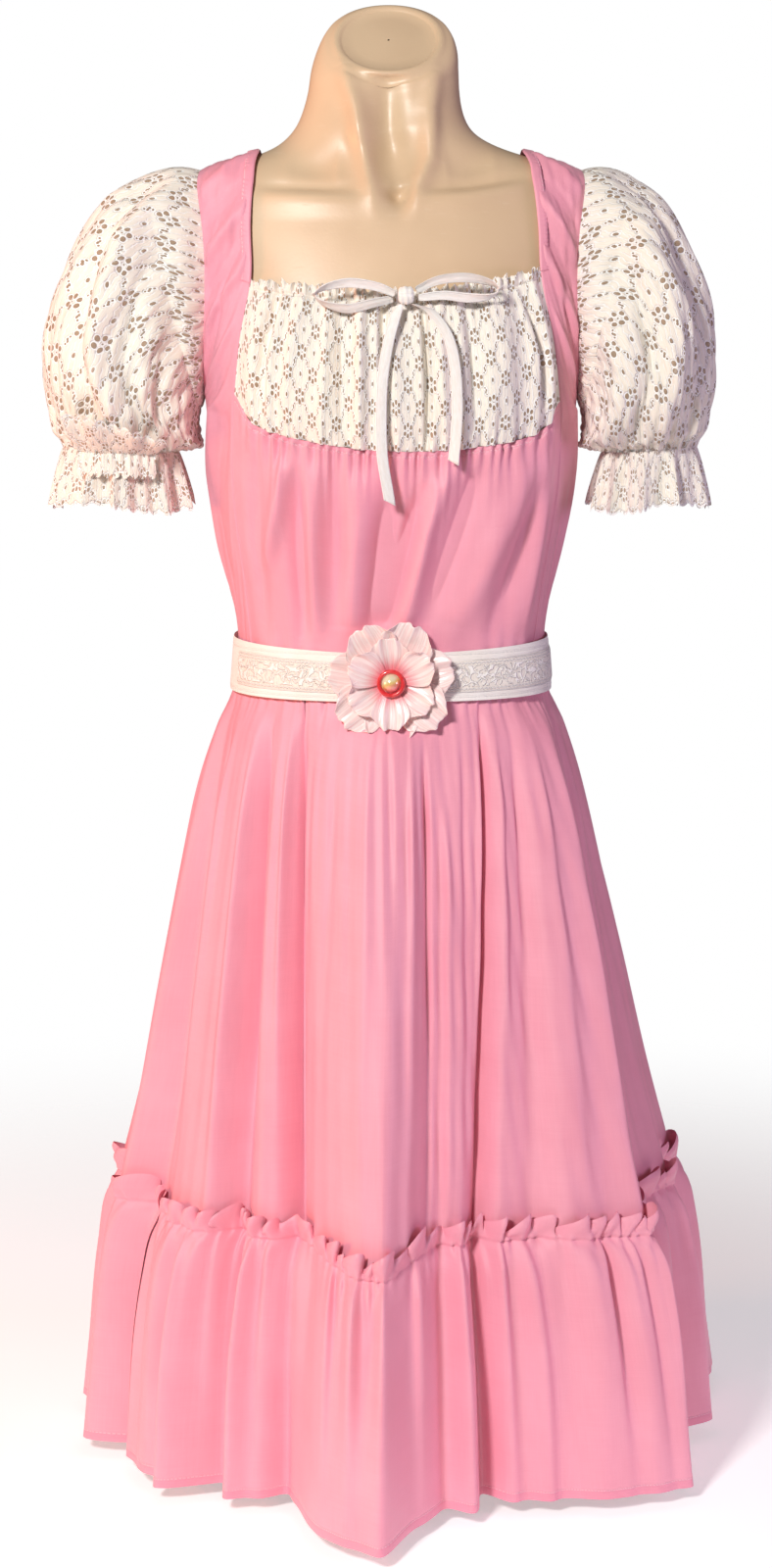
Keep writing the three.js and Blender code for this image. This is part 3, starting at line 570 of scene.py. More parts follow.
@dataclass(frozen=True)
class Finish:
    """A surface finish, which makes its material once and knows its slot."""

    slot: ClassVar[str] = ""

    def title(self) -> str:
        """Name of the material."""
        return type(self).__name__

    def dress(self, nodes: Nodes) -> None:
        """Add the finish's nodes."""
        raise NotImplementedError

    def material(self) -> bpy.types.Material:
        """The material, made at its first use."""
        if self not in MATERIALS:
            made = bpy.data.materials.new(self.title())
            self.dress(Nodes(made))
            MATERIALS[self] = made
        return MATERIALS[self]


MATERIALS: dict[Finish, bpy.types.Material] = {}


@dataclass(frozen=True)
class PinkCotton(Finish):
    """Plain-weave cotton with a slight lustre, slubs, and rows of stitches above its lower edge."""

    slot: ClassVar[str] = "pink_cotton"
    stitches: tuple[float, ...] = ()
    hem: float = 0.0

    def dress(self, nodes: Nodes) -> None:
        """Threads, slubs, a soft mottle, the doubled hem and the stitches."""
        across, up, flat = nodes.chart()
        turn = 2 * math.pi / 0.55
        weave = (across * turn).sine() * (up * turn).sine()
        slub = nodes.streaks(flat, (900.0, 30.0, 1.0), 3.0)
        weft = nodes.streaks(flat, (24.0, 800.0, 1.0), 2.0)
        mottle = nodes.noise(flat, 14.0, 3.0)
        crumple = nodes.streaks(flat, (60.0, 22.0, 1.0), 4.0)
        shade = (slub * 0.26 + weft * 0.2 + mottle * 0.54).step(0.25, 0.75)
        colour = nodes.mix(shade, (0.84, 0.325, 0.415, 1), (0.90, 0.385, 0.485, 1))
        height = weave * 0.10 + slub * 0.35 + weft * 0.25 + crumple * 0.9
        if self.hem:
            doubled = up.step(self.hem, self.hem - 0.8)
            colour = nodes.mix(doubled * 0.35, colour, (0.80, 0.22, 0.34, 1))
            height = height + doubled * 1.6
        for row in self.stitches:
            line = abs(up - row)
            dash = across.folded(1.5)
            thread = line.step(0.75, 0.25) * dash.step(0.25, 0.6)
            height = height + thread * 1.5 - line.step(2.4, 0.2) * 2.2
            colour = nodes.mix(thread * 0.55, colour, (0.98, 0.62, 0.68, 1))
            pucker = nodes.streaks(flat, (170.0, 30.0, 1.0), 2.0)
            height = height + pucker * line.step(11.0, 1.0) * 2.6
        nodes.surface(
            Base_Color=colour,
            Roughness=shade.step(0.0, 1.0, 0.40, 0.50),
            Specular_IOR_Level=0.42,
            Sheen_Weight=0.18,
            Sheen_Roughness=0.35,
            Sheen_Tint=(1.0, 0.82, 0.88, 1),
            Normal=nodes.bump(height, 0.00016),
        )


@dataclass(frozen=True)
class Hole:
    """An oval eyelet in one quarter of the repeat, in millimetres from the nearest cluster's centre."""

    x: float
    y: float
    wide: float
    high: float


@dataclass(frozen=True)
class EyeletRepeat:
    """The repeat of the eyelet cotton: clusters of six ovals round a pinhole, joined by dotted lines."""

    across: float = 19.0
    up: float = 22.0
    holes: tuple[Hole, ...] = (
        Hole(0, 0, 0.8, 0.8),
        Hole(0, 5.4, 1.8, 2.6),
        Hole(4.6, 3.1, 1.8, 2.4),
        Hole(8.3, 7.6, 0.8, 1.0),
        Hole(9.2, 12.0, 0.9, 1.4),
        Hole(19.0, 0, 1.3, 2.3),
    )

    def distance(self, nodes: Nodes, across: Term, up: Term, scale: float = 1.0) -> Term:
        """Distance to the nearest eyelet's rim in millimetres, below zero inside one."""
        x = (across / scale).folded(self.across)
        y = (up / scale).folded(self.up)
        nearest = None
        for place in (nodes.joined(x, y), nodes.joined(self.across - x, self.up - y)):
            for hole in self.holes:
                offset = nodes.vector("SUBTRACT", place, (hole.x, hole.y, 0.0))
                round_ = nodes.vector("MULTIPLY", offset, (1 / hole.wide, 1 / hole.high, 0.0))
                narrow = min(hole.wide, hole.high) * scale
                away = (nodes.term(nodes.vector("LENGTH", round_)) - 1.0) * narrow
                nearest = away if nearest is None else nearest.least(away)
        return nearest


@dataclass(frozen=True)
class EyeletCotton(Finish):
    """Off-white batiste with cut eyelets, satin stitch round each, and fine ribs."""

    slot: ClassVar[str] = "eyelet_cotton"
    scale: float = 1.0
    edge: float = 0.0
    repeat: EyeletRepeat = field(default_factory=EyeletRepeat)

    def dress(self, nodes: Nodes) -> None:
        """The ground, the stitched rims, and the holes as alpha, partly filled with painted shade."""
        across, up, flat = nodes.chart()
        jitter = nodes.noise(flat, 90.0, 1.0)
        sway = (jitter - 0.5) * 1.8
        gap = self.repeat.distance(nodes, across + sway, up - sway, self.scale)
        rim = gap.step(1.35, 0.55) * gap.step(-0.3, 0.1)
        ribs = nodes.streaks(flat, (1500.0, 60.0, 1.0), 3.0)
        crumple = nodes.streaks(flat, (130.0, 45.0, 1.0), 4.0)
        side = nodes.streaks(flat, (40.0, 120.0, 1.0), 1.0)
        strand = (across / self.scale + (side - 0.5) * 7.0).folded(self.repeat.across / 2)
        second_vein = abs(strand - 6.6).step(0.75, 0.25) * jitter.step(0.4, 0.5)
        vein = abs(strand - 2.0).step(0.75, 0.25).most(second_vein)
        ground = nodes.mix(ribs.step(0.3, 0.7), (0.87, 0.78, 0.66, 1), (0.94, 0.885, 0.80, 1))
        colour = nodes.mix(rim.most(vein * 0.85), ground, (0.99, 0.975, 0.945, 1))
        height = rim * 3.6 + vein * 1.6 + ribs * 0.5 + crumple * 1.6
        # Holes stay partly opaque and take a dark tan: painted shade of the shaded form and cloth seen
        # through them.
        alpha = gap.step(-0.25, 0.05, 0.62, 1.0)
        colour = nodes.mix(gap.step(0.1, -0.2), colour, (0.56, 0.40, 0.27, 1))
        if self.edge:
            cord = up.step(self.edge + 0.6, self.edge - 0.2)
            colour = nodes.mix(cord, colour, (0.985, 0.965, 0.925, 1))
            height = height + cord * 4.0
            alpha = alpha.most(up.step(self.edge + 1.4, self.edge + 0.9))
        nodes.surface(
            Base_Color=colour,
            Roughness=rim.step(0.0, 1.0, 0.66, 0.48),
            Specular_IOR_Level=0.3,
            Sheen_Weight=0.2,
            Sheen_Roughness=0.5,
            Alpha=alpha,
            Normal=nodes.bump(height, 0.00017),
        )


@dataclass(frozen=True)
class SatinTape(Finish):
    """Flat white tape: fine ribs across it, and a stitched selvedge on each edge."""

    slot: ClassVar[str] = "drawstring_tape"
    width: float = 9.0

    def dress(self, nodes: Nodes) -> None:
        """Ribs, selvedges and a soft lustre."""
        across, up, flat = nodes.chart()
        side = abs(across - self.width / 2)
        edge = side.step(self.width / 2 - 1.3, self.width / 2 - 0.9)
        rib = (up * (2 * math.pi / 0.7)).sine()
        noise = nodes.streaks(flat, (500.0, 120.0, 1.0), 3.0)
        colour = nodes.mix(noise.step(0.3, 0.7), (0.92, 0.875, 0.82, 1), (0.975, 0.95, 0.92, 1))
        colour = nodes.mix(edge * 0.5, colour, (0.985, 0.97, 0.95, 1))
        nodes.surface(
            Base_Color=colour,
            Roughness=edge.step(0.0, 1.0, 0.42, 0.55),
            Specular_IOR_Level=0.45,
            Sheen_Weight=0.25,
            Normal=nodes.bump(rib * 0.35 + noise * 1.0 + edge * 1.6, 0.0002),
        )


@dataclass(frozen=True)
class BeltCotton(Finish):
    """Closely woven cream belting with a stitch row near each edge."""

    slot: ClassVar[str] = "belt_cotton"
    height: float = 42.0

    def dress(self, nodes: Nodes) -> None:
        """Diagonal weave, edge stitches and slight unevenness."""
        across, up, flat = nodes.chart()
        twill = ((across + up) * (2 * math.pi / 1.1)).sine()
        blotch = nodes.noise(flat, 22.0, 4.0)
        fibre = nodes.streaks(flat, (180.0, 700.0, 1.0), 3.0)
        line = abs(abs(up - self.height / 2) - (self.height / 2 - 3.2))
        dash = across.folded(1.6)
        thread = line.step(0.55, 0.2) * dash.step(0.3, 0.6)
        colour = nodes.mix(blotch.step(0.3, 0.7), (0.92, 0.87, 0.79, 1), (0.97, 0.94, 0.89, 1))
        colour = nodes.mix(thread * 0.6, colour, (0.97, 0.95, 0.90, 1))
        nodes.surface(
            Base_Color=colour,
            Roughness=fibre.step(0.3, 0.7, 0.48, 0.62),
            Specular_IOR_Level=0.4,
            Sheen_Weight=0.2,
            Normal=nodes.bump(twill * 0.3 + fibre * 1.2 - line.step(2.0, 0.2) * 1.8 + thread * 1.8, 0.0002),
        )


@dataclass(frozen=True)
class Embroidery(Finish):
    """Ribbon worked with raised sprays, between borders of zigzag stitches."""

    slot: ClassVar[str] = "belt_embroidery"
    height: float = 28.0

    def dress(self, nodes: Nodes) -> None:
        """Sprays, zigzags and the ground's ribs."""
        across, up, flat = nodes.chart()
        warp = nodes.add("ShaderNodeTexNoise", inputs={"Vector": flat, "Scale": 75.0, "Detail": 2.0})
        bent = nodes.vector("ADD", flat, nodes.vector("MULTIPLY", warp.outputs[1], (0.016, 0.016, 0.0)))
        edges = {"feature": "DISTANCE_TO_EDGE"}
        cells = nodes.add("ShaderNodeTexVoronoi", edges, {"Vector": bent, "Scale": 165.0})
        stem = nodes.term(cells.outputs[0]).step(0.13, 0.03)
        leaf = nodes.noise(bent, 240.0, 2.0).step(0.56, 0.66)
        middle = abs(up - self.height / 2).step(self.height / 2 - 4.6, self.height / 2 - 5.6)
        spray = (stem * 0.8).most(leaf) * middle
        from_edge = self.height / 2 - abs(up - self.height / 2)
        wave = from_edge - 2.3 - across.folded(1.7) * 0.75
        zigzag = abs(wave).step(0.75, 0.25)
        border = abs(from_edge - 0.5).step(0.6, 0.2)
        raised = spray.most(zigzag).most(border)
        fibre = nodes.streaks(flat, (900.0, 200.0, 1.0), 2.0)
        ground = nodes.mix(fibre.step(0.3, 0.7), (0.80, 0.735, 0.645, 1), (0.89, 0.84, 0.765, 1))
        nodes.surface(
            Base_Color=nodes.mix(raised, ground, (0.975, 0.955, 0.915, 1)),
            Roughness=raised.step(0.0, 1.0, 0.62, 0.38),
            Specular_IOR_Level=0.45,
            Sheen_Weight=0.2,
            Normal=nodes.bump(raised * 5.0 + fibre * 0.8, 0.00022),
        )


@dataclass(frozen=True)
class PetalSilk(Finish):
    """Pressed petal fabric: pale, veined along the petal, and flushed red towards the heart."""

    slot: ClassVar[str] = "petal_silk"
    radius: float = 50.0
    flush: float = 0.5

    def dress(self, nodes: Nodes) -> None:
        """Colour by the distance up the petal, and pressed veins."""
        _, up, flat = nodes.chart()
        share = up / self.radius
        rib = nodes.streaks(flat, (520.0, 18.0, 1.0), 2.0)
        blush = nodes.noise(flat, 60.0, 3.0)
        colour = nodes.mix(rib.step(0.3, 0.7), (0.90, 0.64, 0.62, 1), (0.97, 0.83, 0.80, 1))
        flushed = (share + (blush - 0.5) * 0.25 + (rib - 0.5) * 0.2).step(self.flush, 0.08)
        colour = nodes.mix(flushed * 0.9, colour, (0.88, 0.13, 0.19, 1))
        nodes.surface(
            Base_Color=colour,
            Roughness=rib.step(0.2, 0.8, 0.22, 0.34),
            Specular_IOR_Level=0.55,
            Sheen_Weight=0.2,
            Sheen_Tint=(1.0, 0.9, 0.9, 1),
            Normal=nodes.bump(rib * 2.6 + blush * 1.2, 0.00026),
        )


@dataclass(frozen=True)
class Enamel(Finish):
    """Glossy red cord round the flower's centre."""

    slot: ClassVar[str] = "flower_red"

    def dress(self, nodes: Nodes) -> None:
        """A slightly uneven red with a clear gloss."""
        place = nodes.add("ShaderNodeTexCoord").outputs["Object"]
        uneven = nodes.noise(place, 260.0, 2.0)
        nodes.surface(
            Base_Color=nodes.mix(uneven, (0.62, 0.012, 0.022, 1), (0.80, 0.05, 0.05, 1)),
            Roughness=uneven.step(0.3, 0.7, 0.22, 0.34),
            Coat_Weight=0.6,
            Normal=nodes.bump(uneven, 0.0002),
        )


@dataclass(frozen=True)
class Pearl(Finish):
    """Pearly dome whose iridescent sheen is painted, running from lemon through orange to rose."""

    slot: ClassVar[str] = "flower_pearl"
    # Heights in metres where the painted sheen's bands start and end
    low: float = 0.680
    high: float = 0.696

    def dress(self, nodes: Nodes) -> None:
        """Painted iridescent sheen: colour bands across the dome by height, lemon at the top and left, rose
        at the bottom.
        """
        place = nodes.add("ShaderNodeTexCoord").outputs["Object"]
        parts = nodes.add("ShaderNodeSeparateXYZ", inputs={0: place})
        # Height across the dome, leaning to the left: the hues are the pearl's own iridescence, laid out here
        # as painted sheen
        climb = nodes.term(parts.outputs[2]) - nodes.term(parts.outputs[0]) * 0.5
        swirl = nodes.noise(place, 130.0, 1.0) * 0.2
        share = climb.step(self.low, self.high) + swirl
        stops = (
            (0.08, (0.85, 0.22, 0.26)),
            (0.42, (0.93, 0.38, 0.22)),
            (0.66, (0.95, 0.68, 0.24)),
            (0.92, (0.93, 0.88, 0.62)),
        )
        ramp = nodes.add("ShaderNodeValToRGB", {"stops": stops}, {0: share})
        nodes.surface(
            Base_Color=ramp.outputs[0],
            Roughness=swirl.step(0.05, 0.15, 0.10, 0.18),
            Metallic=0.25,
            Coat_Weight=1.0,
            Coat_Roughness=0.04,
        )


@dataclass(frozen=True)
class FormPlastic(Finish):
    """Moulded tan plastic with a soft gloss, faint mottling and an orange-peel skin."""

    slot: ClassVar[str] = "form_shell"

    def dress(self, nodes: Nodes) -> None:
        """Mottle, skin and fine scuffs."""
        place = nodes.add("ShaderNodeTexCoord").outputs["Object"]
        mottle = nodes.noise(place, 9.0, 3.0)
        peel = nodes.noise(place, 420.0, 2.0)
        scuff = nodes.streaks(place, (60.0, 60.0, 500.0), 4.0).step(0.62, 0.72)
        colour = nodes.mix(mottle.step(0.35, 0.65), (0.66, 0.475, 0.305, 1), (0.72, 0.53, 0.345, 1))
        colour = nodes.mix(scuff * 0.12, colour, (0.80, 0.66, 0.52, 1))
        nodes.surface(
            Base_Color=colour,
            Roughness=mottle.step(0.3, 0.7, 0.34, 0.42) + scuff * 0.1,
            Specular_IOR_Level=0.45,
            Normal=nodes.bump(peel, 0.00006),
        )


@dataclass(frozen=True)
class BrushedSteel(Finish):
    """Satin steel of the stand, brushed round it."""

    slot: ClassVar[str] = "stand_metal"

    def dress(self, nodes: Nodes) -> None:
        """Fine brush lines and light wear."""
        place = nodes.add("ShaderNodeTexCoord").outputs["Object"]
        brush = nodes.streaks(place, (25.0, 25.0, 1400.0), 2.0)
        wear = nodes.noise(place, 30.0, 4.0)
        nodes.surface(
            Base_Color=nodes.mix(wear, (0.42, 0.42, 0.43, 1), (0.60, 0.60, 0.61, 1)),
            Metallic=0.95,
            Roughness=brush.step(0.3, 0.7, 0.26, 0.40) + wear * 0.06,
            Normal=nodes.bump(brush, 0.00004),
        )


@dataclass(frozen=True)
class PaleFloor(Finish):
    """Plain white studio floor, which fades into the surround."""

    def dress(self, nodes: Nodes) -> None:
        """A matt white with hardly any unevenness, see-through towards its edge."""
        place = nodes.add("ShaderNodeTexCoord").outputs["Object"]
        tone = nodes.noise(place, 2.0, 1.0)
        nodes.surface(
            Base_Color=nodes.mix(tone, (0.90, 0.90, 0.90, 1), (0.92, 0.92, 0.92, 1)),
            Roughness=0.95,
            Specular_IOR_Level=0.0,
            Emission_Color=(1.0, 1.0, 1.0, 1),
            Emission_Strength=0.42,
            Alpha=nodes.term(nodes.vector("LENGTH", place)).step(1.5, 0.45),
        )


class Workroom:
    """Makes pieces from sheets, and ties them to the frame."""

    def piece(
        self,
        name: str,
        sheets: Sequence[Sheet],
        finish: Finish,
        replaces: Sequence[str],
        thick: float = 0.0,
    ) -> bpy.types.Object:
        """Make one piece.

        Args:
            name: the piece's name.
            sheets: its cloth.
            finish: its finish.
            replaces: the nodes that it stands for.
            thick: wall in millimetres, laid inwards, or 0 for a single layer.

        Returns:
            The object.
        """
        points, faces, flat = [], [], []
        count = 0
        for sheet in sheets:
            quads, places = sheet.quads()
            points.append(sheet.points.reshape(-1, 3))
            faces.append(quads + count)
            flat.append(places)
            count += len(points[-1])
        mesh = bpy.data.meshes.new(name)
        mesh.from_pydata((np.concatenate(points) * MM).tolist(), [], np.concatenate(faces).tolist())
        layer = mesh.uv_layers.new(name="cut")
        layer.data.foreach_set("uv", (np.concatenate(flat) * MM).astype(np.float32).ravel())
        mesh.shade_smooth()
        mesh.materials.append(finish.material())
        made = bpy.data.objects.new(name, mesh)
        bpy.context.scene.collection.objects.link(made)
        if thick:
            wall = made.modifiers.new("wall", "SOLIDIFY")
            wall.thickness = thick * MM
            wall.offset = -1.0
            wall.use_even_offset = False
        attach(made, "root")
        if replaces:
            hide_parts(*replaces)
        area = sum(self.area(sheet) for sheet in sheets) * MM * MM
        log.info("%s: %d faces, %.4f m2", name, len(mesh.polygons), area)
        return made

    @staticmethod
    def area(sheet: Sheet) -> float:
        """Area of one layer of a sheet in square millimetres."""
        p = sheet.points
        if sheet.closed:
            p = np.concatenate([p, p[:, :1]], axis=1)
        first = np.cross(p[:-1, 1:] - p[:-1, :-1], p[1:, 1:] - p[:-1, :-1])
        second = np.cross(p[1:, 1:] - p[:-1, :-1], p[1:, :-1] - p[:-1, :-1])
        return float((np.linalg.norm(first, axis=-1) + np.linalg.norm(second, axis=-1)).sum() / 2)


ROOM = Workroom()


@dataclass
class Studio:
    """Camera at the photograph's angle, soft light and a pale floor."""

    place: Point = (-0.0041, -2.64, 1.032)
    look_down: float = 9.6
    focal: float = 3170.0  # in pixels of the photograph
    photo_height: float = 1600.0
    ambient: float = 0.15
    floor_half: float = 1.6

    def camera(self) -> None:
        """Make the camera."""
        data = bpy.data.cameras.new("camera")
        data.sensor_fit = "VERTICAL"
        data.sensor_height = 36.0
        data.sensor_width = 36.0
        data.angle = 2 * math.atan(self.photo_height / 2 / self.focal)
        data.clip_end = 60.0
        made = bpy.data.objects.new("camera", data)
        made.location = self.place
        made.rotation_euler = (math.radians(90 - self.look_down), 0.0, 0.0)
        bpy.context.scene.collection.objects.link(made)
        bpy.context.scene.camera = made

    @staticmethod
    def lamp(name: str, place: Point, aim: Point, size: float, power: float, colour: Point) -> None:
        """Make one square soft light.

        Args:
            name: the light's name.
            place: where it stands, in metres.
            aim: the point that it faces.
            size: its width and height in metres.
            power: its power in watts.
            colour: its colour.
        """
        data = bpy.data.lights.new(name, "AREA")
        data.shape = "SQUARE"
        data.size = size
        data.energy = power
        data.color = colour
        made = bpy.data.objects.new(name, data)
        made.location = place
        made.rotation_euler = (Vector(aim) - Vector(place)).to_track_quat("-Z", "Y").to_euler()
        bpy.context.scene.collection.objects.link(made)

    def light(self) -> None:
        """Make the lights and the white surround."""
        self.lamp("key", (-1.0, -2.45, 2.0), (0, 0, 0.74), 0.4, 74.0, (1.0, 0.975, 0.95))
        self.lamp("warm", (-2.5, -0.5, 0.6), (0, 0, 0.42), 0.7, 34.0, (1.0, 0.34, 0.16))
        self.lamp("cool", (2.5, -0.6, 0.8), (0, 0, 0.5), 0.9, 17.0, (0.86, 0.62, 1.0))
        self.surround()
        bpy.context.scene.view_settings.view_transform = "Standard"

    def surround(self) -> None:
        """Make the white surround, which lights the scene less brightly than it looks."""
        world = bpy.data.worlds.new("surround")
        world.use_nodes = True
        tree = world.node_tree
        seen = tree.nodes.new("ShaderNodeLightPath")
        level = tree.nodes.new("ShaderNodeMapRange")
        level.inputs["To Min"].default_value = self.ambient
        level.inputs["To Max"].default_value = 1.0
        tree.links.new(seen.outputs["Is Camera Ray"], level.inputs["Value"])
        tree.links.new(level.outputs[0], tree.nodes["Background"].inputs["Strength"])
        tint = tree.nodes.new("ShaderNodeMix")
        tint.data_type = "RGBA"
        tint.inputs[6].default_value = (1.0, 0.95, 0.93, 1)
        tint.inputs[7].default_value = (1.0, 1.0, 1.0, 1)
        tree.links.new(seen.outputs["Is Camera Ray"], tint.inputs[0])
        tree.links.new(tint.outputs[2], tree.nodes["Background"].inputs["Color"])
        bpy.context.scene.world = world

    def floor(self) -> None:
        """Make the floor."""
        mesh = bpy.data.meshes.new("floor")
        half = self.floor_half
        square = [(-half, -half, 0), (half, -half, 0), (half, half, 0), (-half, half, 0)]
        mesh.from_pydata(square, [], [(0, 1, 2, 3)])
        mesh.materials.append(PaleFloor().material())
        made = bpy.data.objects.new("floor", mesh)
        bpy.context.scene.collection.objects.link(made)


@dataclass
class Bow:
    """The drawstring's bow: two loops, a knot and two hanging tails of flat tape."""

    width: float = 9.0
    tail_left: tuple[Point, ...] = (
        (8, -119, 995.9), (3, -122.5, 985), (-3, -129, 962), (-7, -135, 935), (-8, -136.5, 905),
        (-7, -137, 875), (-3, -137, 850), (-1, -137, 838),
    )
    tail_right: tuple[Point, ...] = (
        (18, -120.5, 996), (32, -121, 990), (45, -127, 972), (51, -133, 948), (53, -136, 918),
        (52, -135, 892), (50, -133, 870),
    )
    # Point and lean of the tape's width at each place
    loop_left: tuple[tuple[float, float, float, float], ...] = (
        (3.6, -120, 1004, 10), (-12, -124, 1010, 20), (-34, -127, 1013, 25), (-54, -126, 1009, 60),
        (-61, -122, 1003, 88), (-52, -119.5, 996, 60), (-34, -119, 992.5, 25), (-14, -119.6, 997, 15),
        (1.5, -117, 1000, 10),
    )
    loop_right: tuple[tuple[float, float, float, float], ...] = (
        (22, -117, 1001, 10), (42, -119, 1003, 15), (62, -118, 1001, 25), (78, -118, 1002, 60),
        (86, -120, 1007, 88), (80, -123, 1013, 60), (60, -125, 1017, 25), (38, -124, 1015, 20),
        (20, -120, 1007, 10),
    )
    knot: Point = (12, -122, 1003)

    @staticmethod
    def smooth(path: Sequence[Sequence[float]], count: int) -> Array:
        """A path's points, evened out along a smooth curve."""
        rows = [(float(i), *row) for i, row in enumerate(path)]
        names = "at " + " ".join(f"c{k}" for k in range(len(path[0])))
        table = Table(names, rows)
        at = np.linspace(0, len(path) - 1, count)
        return np.stack([table.read(f"c{k}", at) for k in range(len(path[0]))], axis=-1)

    def tail(self, name: str, path: Sequence[Point], twist: float) -> None:
        """Make one hanging end, cut off aslant.

        Args:
            name: the piece's name, after "bow_".
            path: the points that the tape's middle follows.
            twist: how far its lower end turns, in millimetres.
        """
        rows = 60
        centre = self.smooth(path, rows)
        across = np.linspace(-0.5, 0.5, 9) * self.width
        share = shares(rows)[:, None]
        pinch = lerp(0.55, 1.0, ease(share, 0, 0.14))
        x = centre[:, :1] + across * pinch
        bow = 0.5 * (1 - (2 * across / self.width) ** 2) + np.sin(5.0 * share + across * 0.12) * 0.3
        y = centre[:, 1:2] - bow + twist * across / self.width * share**2
        z = centre[:, 2:3] - ease(share, 0.97, 1.0) * across * (5.0 / self.width)
        sheet = Sheet(np.stack(np.broadcast_arrays(x, y, z), axis=-1)[::-1].astype(float), self.width)
        made = ROOM.piece(f"bow_{name}_tape", [sheet], SatinTape(), [f"bow_{name}"], thick=TAPE_WALL)
        self.width * MM

    def loop(self, name: str, path: Sequence[Sequence[float]]) -> None:
        """Make one loop of the bow."""
        rows = 90
        line = self.smooth(path, rows)
        way = np.gradient(line[:, [0, 2]], axis=0)
        way /= np.linalg.norm(way, axis=-1, keepdims=True)
        lean = np.radians(line[:, 3])
        level = np.cos(lean)
        parts = [-way[:, 1] * level, -np.sin(lean) * np.sign(way[:, 0]), way[:, 0] * level]
        parts = [np.convolve(np.pad(part, 4, "edge"), np.ones(9) / 9, "valid") for part in parts]
        wide = np.stack(parts, axis=-1)
        wide /= np.linalg.norm(wide, axis=-1, keepdims=True)
        share = shares(rows)
        pinch = lerp(0.5, 1.0, np.sin(np.pi * share) ** 0.35)
        across = np.linspace(-0.5, 0.5, 9) * self.width
        points = line[:, None, :3] + wide[:, None, :] * (across[None, :, None] * pinch[:, None, None])
        sheet = Sheet(points.astype(float), self.width)
        curl = 0.6 * (1 - (2 * across / self.width) ** 2)
        sheet = sheet.raised(np.broadcast_to(curl, points.shape[:2]))
        ROOM.piece(f"bow_{name}_tape", [sheet], SatinTape(), [f"bow_{name}"], thick=TAPE_WALL)

    def knot_wrap(self) -> None:
        """Make the knot: a flattened roll of tape with creases running round it."""
        along = np.linspace(-1, 1, 41)
        turn = all_round(56)
        t, a = field_of(turn, along)
        creases = 1 + 0.045 * np.cos(9 * a + 1.2 * np.sin(t)) + 0.025 * np.sin(3 * t + 4 * a)
        swell = (1 - np.abs(a) ** 3 * 0.4) * creases
        closing = np.where(np.abs(a) > 0.999, 0.35, 1.0)
        x = self.knot[0] + 6.4 * a
        y = self.knot[1] - 5.4 * swell * closing * np.cos(t)
        z = self.knot[2] + 7.2 * swell * closing * np.sin(t)
        sheet = Sheet(stack(x, y, z), 40.0, closed=True)
        ROOM.piece("bow_knot_wrap", [sheet], SatinTape(40.0), ["bow_knot"])

    def build(self) -> None:
        """Make the tails first, then the loops and the knot."""
        self.tail("tail_left", self.tail_left, 2.0)
        self.tail("tail_right", self.tail_right, -2.5)
        self.loop("loop_left", self.loop_left)
        self.loop("loop_right", self.loop_right)
        self.knot_wrap()


